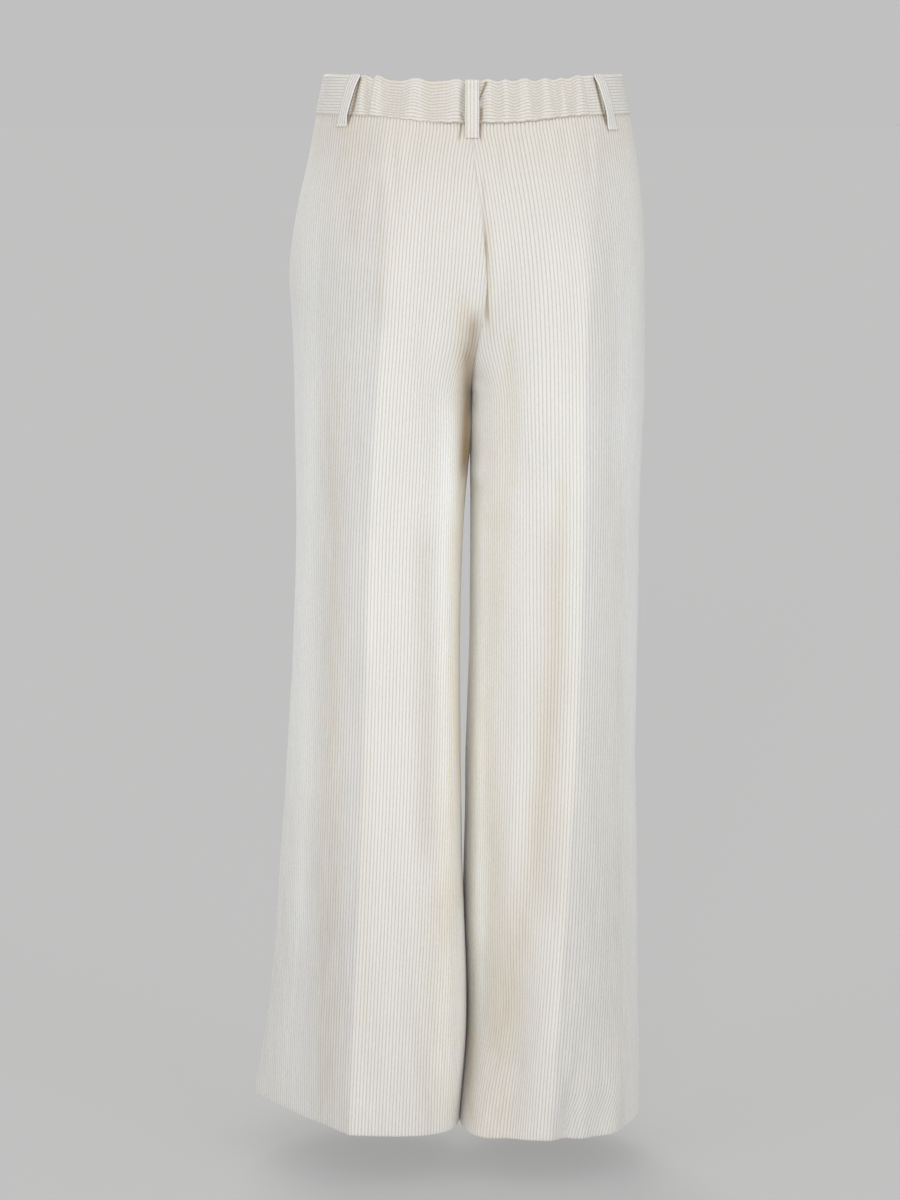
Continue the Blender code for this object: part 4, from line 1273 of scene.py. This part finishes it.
def make_bars(name, bars, radius, finish):
    """Small rounded bars, joined in one mesh, each from one point to another, partly sunk."""
    turns = np.linspace(0, 2 * math.pi, BAR_SIDES + 1)[:-1, None]
    ring = np.arange(BAR_SIDES)
    after = np.roll(ring, -1)
    quad = np.stack([ring, after, after + BAR_SIDES, ring + BAR_SIDES], axis=1)
    end = (len(BAR_RINGS) - 1) * BAR_SIDES
    tube = np.concatenate([quad + k for k in range(0, end, BAR_SIDES)])
    caps = [(0, k + 1, k) for k in range(1, BAR_SIDES - 1)]
    caps += [(end, end + k, end + k + 1) for k in range(1, BAR_SIDES - 1)]
    verts, quads, tris = [], [], []
    for k, (first, last, out) in enumerate(bars):
        ahead = unit(last - first)
        side = unit(np.cross(ahead, out))
        up = np.cross(side, ahead)
        for share, wide, high in BAR_RINGS:
            middle = first + share * (last - first) + high * radius * up
            verts.append(middle + radius * wide * (np.cos(turns) * side + np.sin(turns) * up))
        quads.append(tube + k * (end + BAR_SIDES))
        tris.append(np.array(caps) + k * (end + BAR_SIDES))
    verts = np.concatenate(verts)
    faces = [np.concatenate(quads), np.concatenate(tris)]
    return add_mesh(name, verts, faces, verts[:, [0, 2]], finish)


def fly_stitches(trees, finish):
    shares = placket_shares()
    heights = FLY_TOP - FLY_LENGTH * shares
    ends = FLY_EDGE - placket_width(shares) + FLY_STITCH_IN
    point, out = fronts_at(trees, ends[:, None], heights)
    point = point + (FLY_LIFT + FLY_CLOTH + 0.7 * WALE_HIGH) * out
    bars = bars_along(point[:, 0], out[:, 0], STITCH, STITCH_GAP)
    return make_bars("fly_stitches", bars, THREAD, finish)


def zip_coil(trees, finish):
    heights = np.arange(FLY_TOP - ZIP_INSET, FLY_TOP - FLY_LENGTH + ZIP_INSET, -COIL_PITCH)
    point, out = fronts_at(trees, np.full((len(heights), 1), BESIDE_SEAM), heights)
    middle = point[:, 0] * np.array([0.0, 1.0, 1.0]) - (ZIP_DEEP + ZIP_CLOTH) * out[:, 0]
    half = np.array([COIL_HALF, 0.0, 0.0])
    return make_bars("zip_coil", [(m - half, m + half, -o) for m, o in zip(middle, out[:, 0])],
                     COIL_RADIUS, finish)


def band_middle(x, lift):
    foot, top, out = band_frame(front_place(x))
    up = unit(top - foot)
    square = unit(out - (out @ up) * up)
    return (foot + top) / 2 + lift * square, up, square


def buttonhole(finish):
    bars = []
    for x in np.arange(SLIT[0], SLIT[1], -HOLE_PITCH):
        middle, up, square = band_middle(x, BAND_WALE_HIGH)
        for side in (1.0, -1.0):
            bars.append((middle + side * SLIT_HALF * up, middle + side * SLIT_LIP * up, square))
    for k in range(3):
        middle, up, square = band_middle(SLIT[1] - (k + 0.5) * HOLE_PITCH, BAND_WALE_HIGH)
        bars.append((middle - SLIT_LIP * up, middle + SLIT_LIP * up, square))
    return make_bars("buttonhole_stitches", bars, THREAD, finish)


# A dark bar along the buttonhole, painted shadow inside the slit
def buttonhole_slit(finish):
    first, _, square = band_middle(SLIT[0], BAND_WALE_HIGH - THREAD)
    last, _, _ = band_middle(SLIT[1], BAND_WALE_HIGH - THREAD)
    return make_bars("buttonhole_slit", [(first, last, square)], SLIT_HALF, finish)


def button_thread(finish):
    face = BUTTON_STAND + BUTTON_THICK + 0.0001
    middle, up, square = band_middle(BUTTON_X, face)
    side = np.cross(up, square)
    half = BUTTON_HOLE_AT / math.sqrt(2)
    bars = []
    for shift in (-1.5, -0.5, 0.5, 1.5):
        for row in (1.0, -1.0):
            at = middle + (row * half + shift * THREAD * 1.3) * up
            bars.append((at - half * side, at + half * side, square))
    return make_bars("button_thread", bars, THREAD, finish)


# Materials


class Nodes:
    """A material's nodes, with a short call for each kind used here."""

    def __init__(self, name):
        self.material = bpy.data.materials.new(name)
        self.material.use_nodes = True
        self.tree = self.material.node_tree
        self.shader = self.tree.nodes["Principled BSDF"]

    def new(self, kind, **settings):
        node = self.tree.nodes.new("ShaderNode" + kind)
        for key, value in settings.items():
            setattr(node, key, value)
        return node

    def put(self, socket, value):
        """Give a socket a number or a colour, or link another node's output to it."""
        if isinstance(value, (int, float)):
            socket.default_value = value
        elif isinstance(value, tuple):
            socket.default_value = (*value, 1.0)
        else:
            self.tree.links.new(value, socket)

    def shade(self, **inputs):
        """Set inputs of the shader, where _ in a name stands for a space."""
        for name, value in inputs.items():
            self.put(self.shader.inputs[name.replace("_", " ")], value)

    def math(self, kind, *values):
        node = self.new("Math", operation=kind)
        for socket, value in zip(node.inputs, values):
            self.put(socket, value)
        return node.outputs[0]

    def mix(self, share, first, second, kind="MIX", clamp=True):
        node = self.new("Mix", data_type="RGBA", blend_type=kind, clamp_factor=clamp)
        for socket, value in ((0, share), (6, first), (7, second)):
            self.put(node.inputs[socket], value)
        return node.outputs[2]

    def noise(self, where, scale, detail=2.0, rough=0.5):
        node = self.new("TexNoise")
        names, values = ("Vector", "Scale", "Detail", "Roughness"), (where, scale, detail, rough)
        for name, value in zip(names, values):
            self.put(node.inputs[name], value)
        return node.outputs["Fac"]


def grooves(n, across, fine):
    """How deep in a groove between two wales each place lies, with a patchy edge."""
    phase = n.math("MULTIPLY", across, math.pi / WALE)
    height = n.math("ABSOLUTE", n.math("COSINE", phase))
    deep = n.math("POWER", n.math("SUBTRACT", 1.0, height), GROOVE_SHAPE)
    patchy = n.math("MULTIPLY_ADD", fine, 0.7, 0.65)
    return n.math("MULTIPLY", deep, patchy)


def paint_shade(n, colour, shares, blotch):
    """Colour with the painted shade laid over it, the beige and the cool in blotches."""
    cool = n.math("MULTIPLY", shares.outputs[1], blotch)
    beige = n.math("MULTIPLY", shares.outputs[0], blotch)
    for share, tint in ((beige, BEIGE), (cool, COOL), (shares.outputs[2], DARK)):
        tinted = n.mix(1.0, colour, tint, "MULTIPLY")
        colour = n.mix(n.math("MINIMUM", share, MOST_TONE), colour, tinted, clamp=False)
    return colour


def corduroy(name, light, groove, streak=0.06):
    n = Nodes(name)
    split = n.new("SeparateXYZ")
    n.put(split.inputs[0], n.new("UVMap", uv_map="cloth").outputs[0])
    place = n.new("TexCoord").outputs["Object"]
    stretched = n.new("Mapping")
    stretched.inputs["Scale"].default_value = ALONG_LEGS
    n.put(stretched.inputs["Vector"], place)
    stretched = stretched.outputs[0]
    rough_edge = n.noise(place, 420.0, 1.0)
    long = n.noise(stretched, 55.0, 3.0)
    broad = n.noise(place, 9.0, 2.0)
    fine = n.noise(place, 620.0, 2.0, 0.7)
    pile = n.noise(place, 1900.0, 1.0, 0.6)
    blotch = n.noise(stretched, 160.0, 3.0, 0.65)

    wiggle = n.math("MULTIPLY_ADD", rough_edge, 2 * GROOVE_WIGGLE, -GROOVE_WIGGLE)
    deep = grooves(n, n.math("ADD", split.outputs[0], wiggle), fine)
    tone = n.math("MULTIPLY_ADD", n.math("ADD", long, broad), streak, 1.0 - streak)
    tone = n.math("MULTIPLY", tone, n.math("MULTIPLY_ADD", fine, 0.10, 0.95))
    grey = n.new("CombineColor")
    for socket in grey.inputs[:3]:
        n.put(socket, tone)
    # The groove colour darkens the grooves between the wales: painted shade in the recesses
    colour = n.mix(1.0, n.mix(deep, light, groove), grey.outputs[0], "MULTIPLY")
    # The tone attribute holds the painted shade: beige, cool and dark shares
    shares = n.new("SeparateColor")
    n.put(shares.inputs[0], n.new("Attribute", attribute_name="tone").outputs["Color"])
    colour = paint_shade(n, colour, shares, n.math("MULTIPLY_ADD", blotch, 1.3, 0.35))

    n.shade(Base_Color=colour, Roughness=0.92, Specular_IOR_Level=0.15)
    n.shade(Sheen_Weight=0.25, Sheen_Roughness=0.45)
    bump = n.new("Bump")
    n.put(bump.inputs["Strength"], BUMP_SHARE)
    n.put(bump.inputs["Distance"], BUMP_HIGH)
    n.put(bump.inputs["Height"], n.math("ADD", fine, pile))
    n.shade(Normal=bump.outputs[0])
    return n.material


def plain_finish(name, colour, roughness, metallic=0.0, scale=300.0, change=0.08):
    n = Nodes(name)
    spread = n.noise(n.new("TexCoord").outputs["Object"], scale, 3.0)
    darker = tuple(c * (1 - change * 2) for c in colour)
    rough = n.math("MULTIPLY_ADD", spread, 0.2, roughness - 0.1)
    n.shade(Base_Color=n.mix(spread, darker, colour), Metallic=metallic, Roughness=rough)
    return n.material


GROOVE_SHAPE = 2.6
GROOVE_WIGGLE = 0.00045
MOST_TONE = 1.6  # overlapping tones add up to this much at most
BUMP_SHARE, BUMP_HIGH = 0.35, 0.0004
ALONG_LEGS = (1.0, 1.0, 0.12)  # noise stretched down the legs
LIGHT = (0.839, 0.831, 0.804)
# Painted shade in the grooves between the wales, on the legs and on the band
GROOVE = (0.596, 0.561, 0.478)
BAND_GROOVE = (0.512, 0.474, 0.398)
# Tints of the painted shade: beige is warm shade, cool is greyer shade, dark is shadow
BEIGE = (0.948, 0.918, 0.868)
COOL = (0.905, 0.910, 0.925)
DARK = (0.50, 0.40, 0.29)

leg_cloth = corduroy("corduroy_legs", LIGHT, GROOVE)
band_cloth = corduroy("corduroy_band", LIGHT, BAND_GROOVE, 0.04)

# Build

panels = {(leg, face): smooth_panel(leg, face) for leg in PLUS_X for face in PLUS_Y}
ways = close_seams(panels)
cloth = {}
for (leg, face), grid in panels.items():
    cloth[f"{face}_{leg}"] = make_panel(leg, face, grid, ways[leg, face], leg_cloth)


def build_band(node, places, moves=None, waved=False):
    """A stretch of the band through places, moved out by moves there."""
    frames = [band_frame(place) for place in places]
    moves = np.zeros(len(frames)) if moves is None else moves
    cloth[node] = make_band(node + "_cloth", frames, moves, band_cloth, waved)


low, high = BACK_BAND_ENDS
build_band("waistband_back", np.linspace(low + BAND_GAP, high - BAND_GAP, BACK_CELLS), waved=True)
places = list(np.linspace(low - BAND_GAP, front_place(-FLY_EDGE), FRONT_CELLS))
build_band("waistband_front_right", places + [2.0, front_place(FLY_EDGE)])
# The left front runs on under the right one as the underlap, and steps in where that begins
places = list(np.linspace(high + BAND_GAP, front_place(UNDERLAP_FROM), FRONT_CELLS))
under = np.linspace(*UNDERLAP)
moves = [0.0] * len(places) + [-UNDERLAP_DEEP * float(smooth(*STEP_IN, x)) for x in under]
build_band("waistband_front_left", places + [front_place(x) for x in under], moves)
for name, place, tail, lean in LOOPS:
    cloth[name] = make_loop(name, place, tail, lean, band_cloth)

trees = front_trees(panels)
tape = plain_finish("tape", (0.70, 0.67, 0.60), 0.85, scale=900.0)
thread = plain_finish("thread", (0.80, 0.765, 0.69), 0.75, scale=1500.0)
# A dark finish for the buttonhole's slit: painted shadow inside the opening
slit_shadow = plain_finish("slit_shadow", (0.20, 0.17, 0.13), 0.9)
cloth["fly_placket"] = make_placket(trees, leg_cloth)
cloth["fly_zip"] = make_tape(trees, tape)
extras = {
    "fly_stitches": (fly_stitches(trees, thread), "corduroy"),
    "zip_coil": (zip_coil(trees, tape), "zip_tape"),
    "buttonhole_stitches": (buttonhole(thread), "band_corduroy"),
    "buttonhole_slit": (buttonhole_slit(slit_shadow), "band_corduroy"),
    "button_thread": (button_thread(thread), "band_corduroy"),
}
for piece, slot in extras.values():
    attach(piece, "root")
for node, piece in cloth.items():
    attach(piece, "root")
    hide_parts(node)

nodes = frame["nodes"]
for name, finish in (
    ("button", plain_finish("horn", (0.62, 0.56, 0.45), 0.35, scale=120.0, change=0.15)),
    ("zip_slider", plain_finish("nickel", (0.62, 0.61, 0.58), 0.35, metallic=1.0)),
):
    nodes[name].data.materials.clear()
    nodes[name].data.materials.append(finish)

# Stage, light and camera

scene = bpy.context.scene
GREY = 0.527  # the photograph's backdrop, linear
world = bpy.data.worlds.new("world")
scene.world = world
world.use_nodes = True
back = world.node_tree.nodes["Background"]
back.inputs["Color"].default_value = (GREY, GREY, GREY, 1.0)
back.inputs["Strength"].default_value = 1.0
scene.view_settings.view_transform = "Standard"

SUNS = (
    # name, where the light comes from, strength, angle in degrees, colour
    ("key", (0.10, 1.0, 0.16), 0.95, 20, (1.0, 0.99, 0.97)),
    ("fill_right", (-1.0, 0.9, 0.12), 0.90, 45, (0.98, 0.99, 1.0)),
    ("fill_left", (1.1, 0.9, 0.12), 0.68, 45, (0.98, 0.99, 1.0)),
    ("front", (0.2, -1.0, 0.6), 1.5, 35, (1.0, 0.99, 0.97)),
)
FLOOR_Z = -1.125
FLOOR_ALBEDO = 0.30
fallen = GREY
for name, origin, strength, angle, colour in SUNS:
    light = bpy.data.lights.new(name, "SUN")
    light.energy = strength
    light.angle = math.radians(angle)
    light.color = colour
    lamp = bpy.data.objects.new(name, light)
    lamp.rotation_euler = Vector(origin).to_track_quat("Z", "Y").to_euler()
    scene.collection.objects.link(lamp)
    fallen += strength * Vector(origin).normalized().z / math.pi

floor_mesh = bpy.data.meshes.new("floor")
SPAN = 60.0
CORNERS = ((-1, -1), (1, -1), (1, 1), (-1, 1))
floor_mesh.from_pydata([(SPAN * x, SPAN * y, FLOOR_Z) for x, y in CORNERS], [], [(0, 1, 2, 3)])
floor = bpy.data.objects.new("floor", floor_mesh)
scene.collection.objects.link(floor)
paper = Nodes("floor")
paper.shade(Base_Color=(FLOOR_ALBEDO,) * 3, Roughness=1.0, Specular_IOR_Level=0.0)
paper.shade(Emission_Color=(1.0, 1.0, 1.0))
paper.shade(Emission_Strength=max(0.0, GREY - FLOOR_ALBEDO * fallen))
floor_mesh.materials.append(paper.material)

CAMERA_PLACE = (0.0, 3.4, 0.03)
CAMERA_DIP, CAMERA_TURN = 9.29, 0.386  # degrees down, and off the middle
CAMERA_LENS = 130.56
camera_data = bpy.data.cameras.new("camera")
camera_data.sensor_fit = "HORIZONTAL"
camera_data.sensor_width = 36.0
camera_data.lens = CAMERA_LENS
camera_data.clip_end = 200.0
camera = bpy.data.objects.new("camera", camera_data)
camera.location = CAMERA_PLACE
camera.rotation_euler = (math.radians(90 - CAMERA_DIP), 0.0, math.radians(180 + CAMERA_TURN))
scene.collection.objects.link(camera)
scene.camera = camera
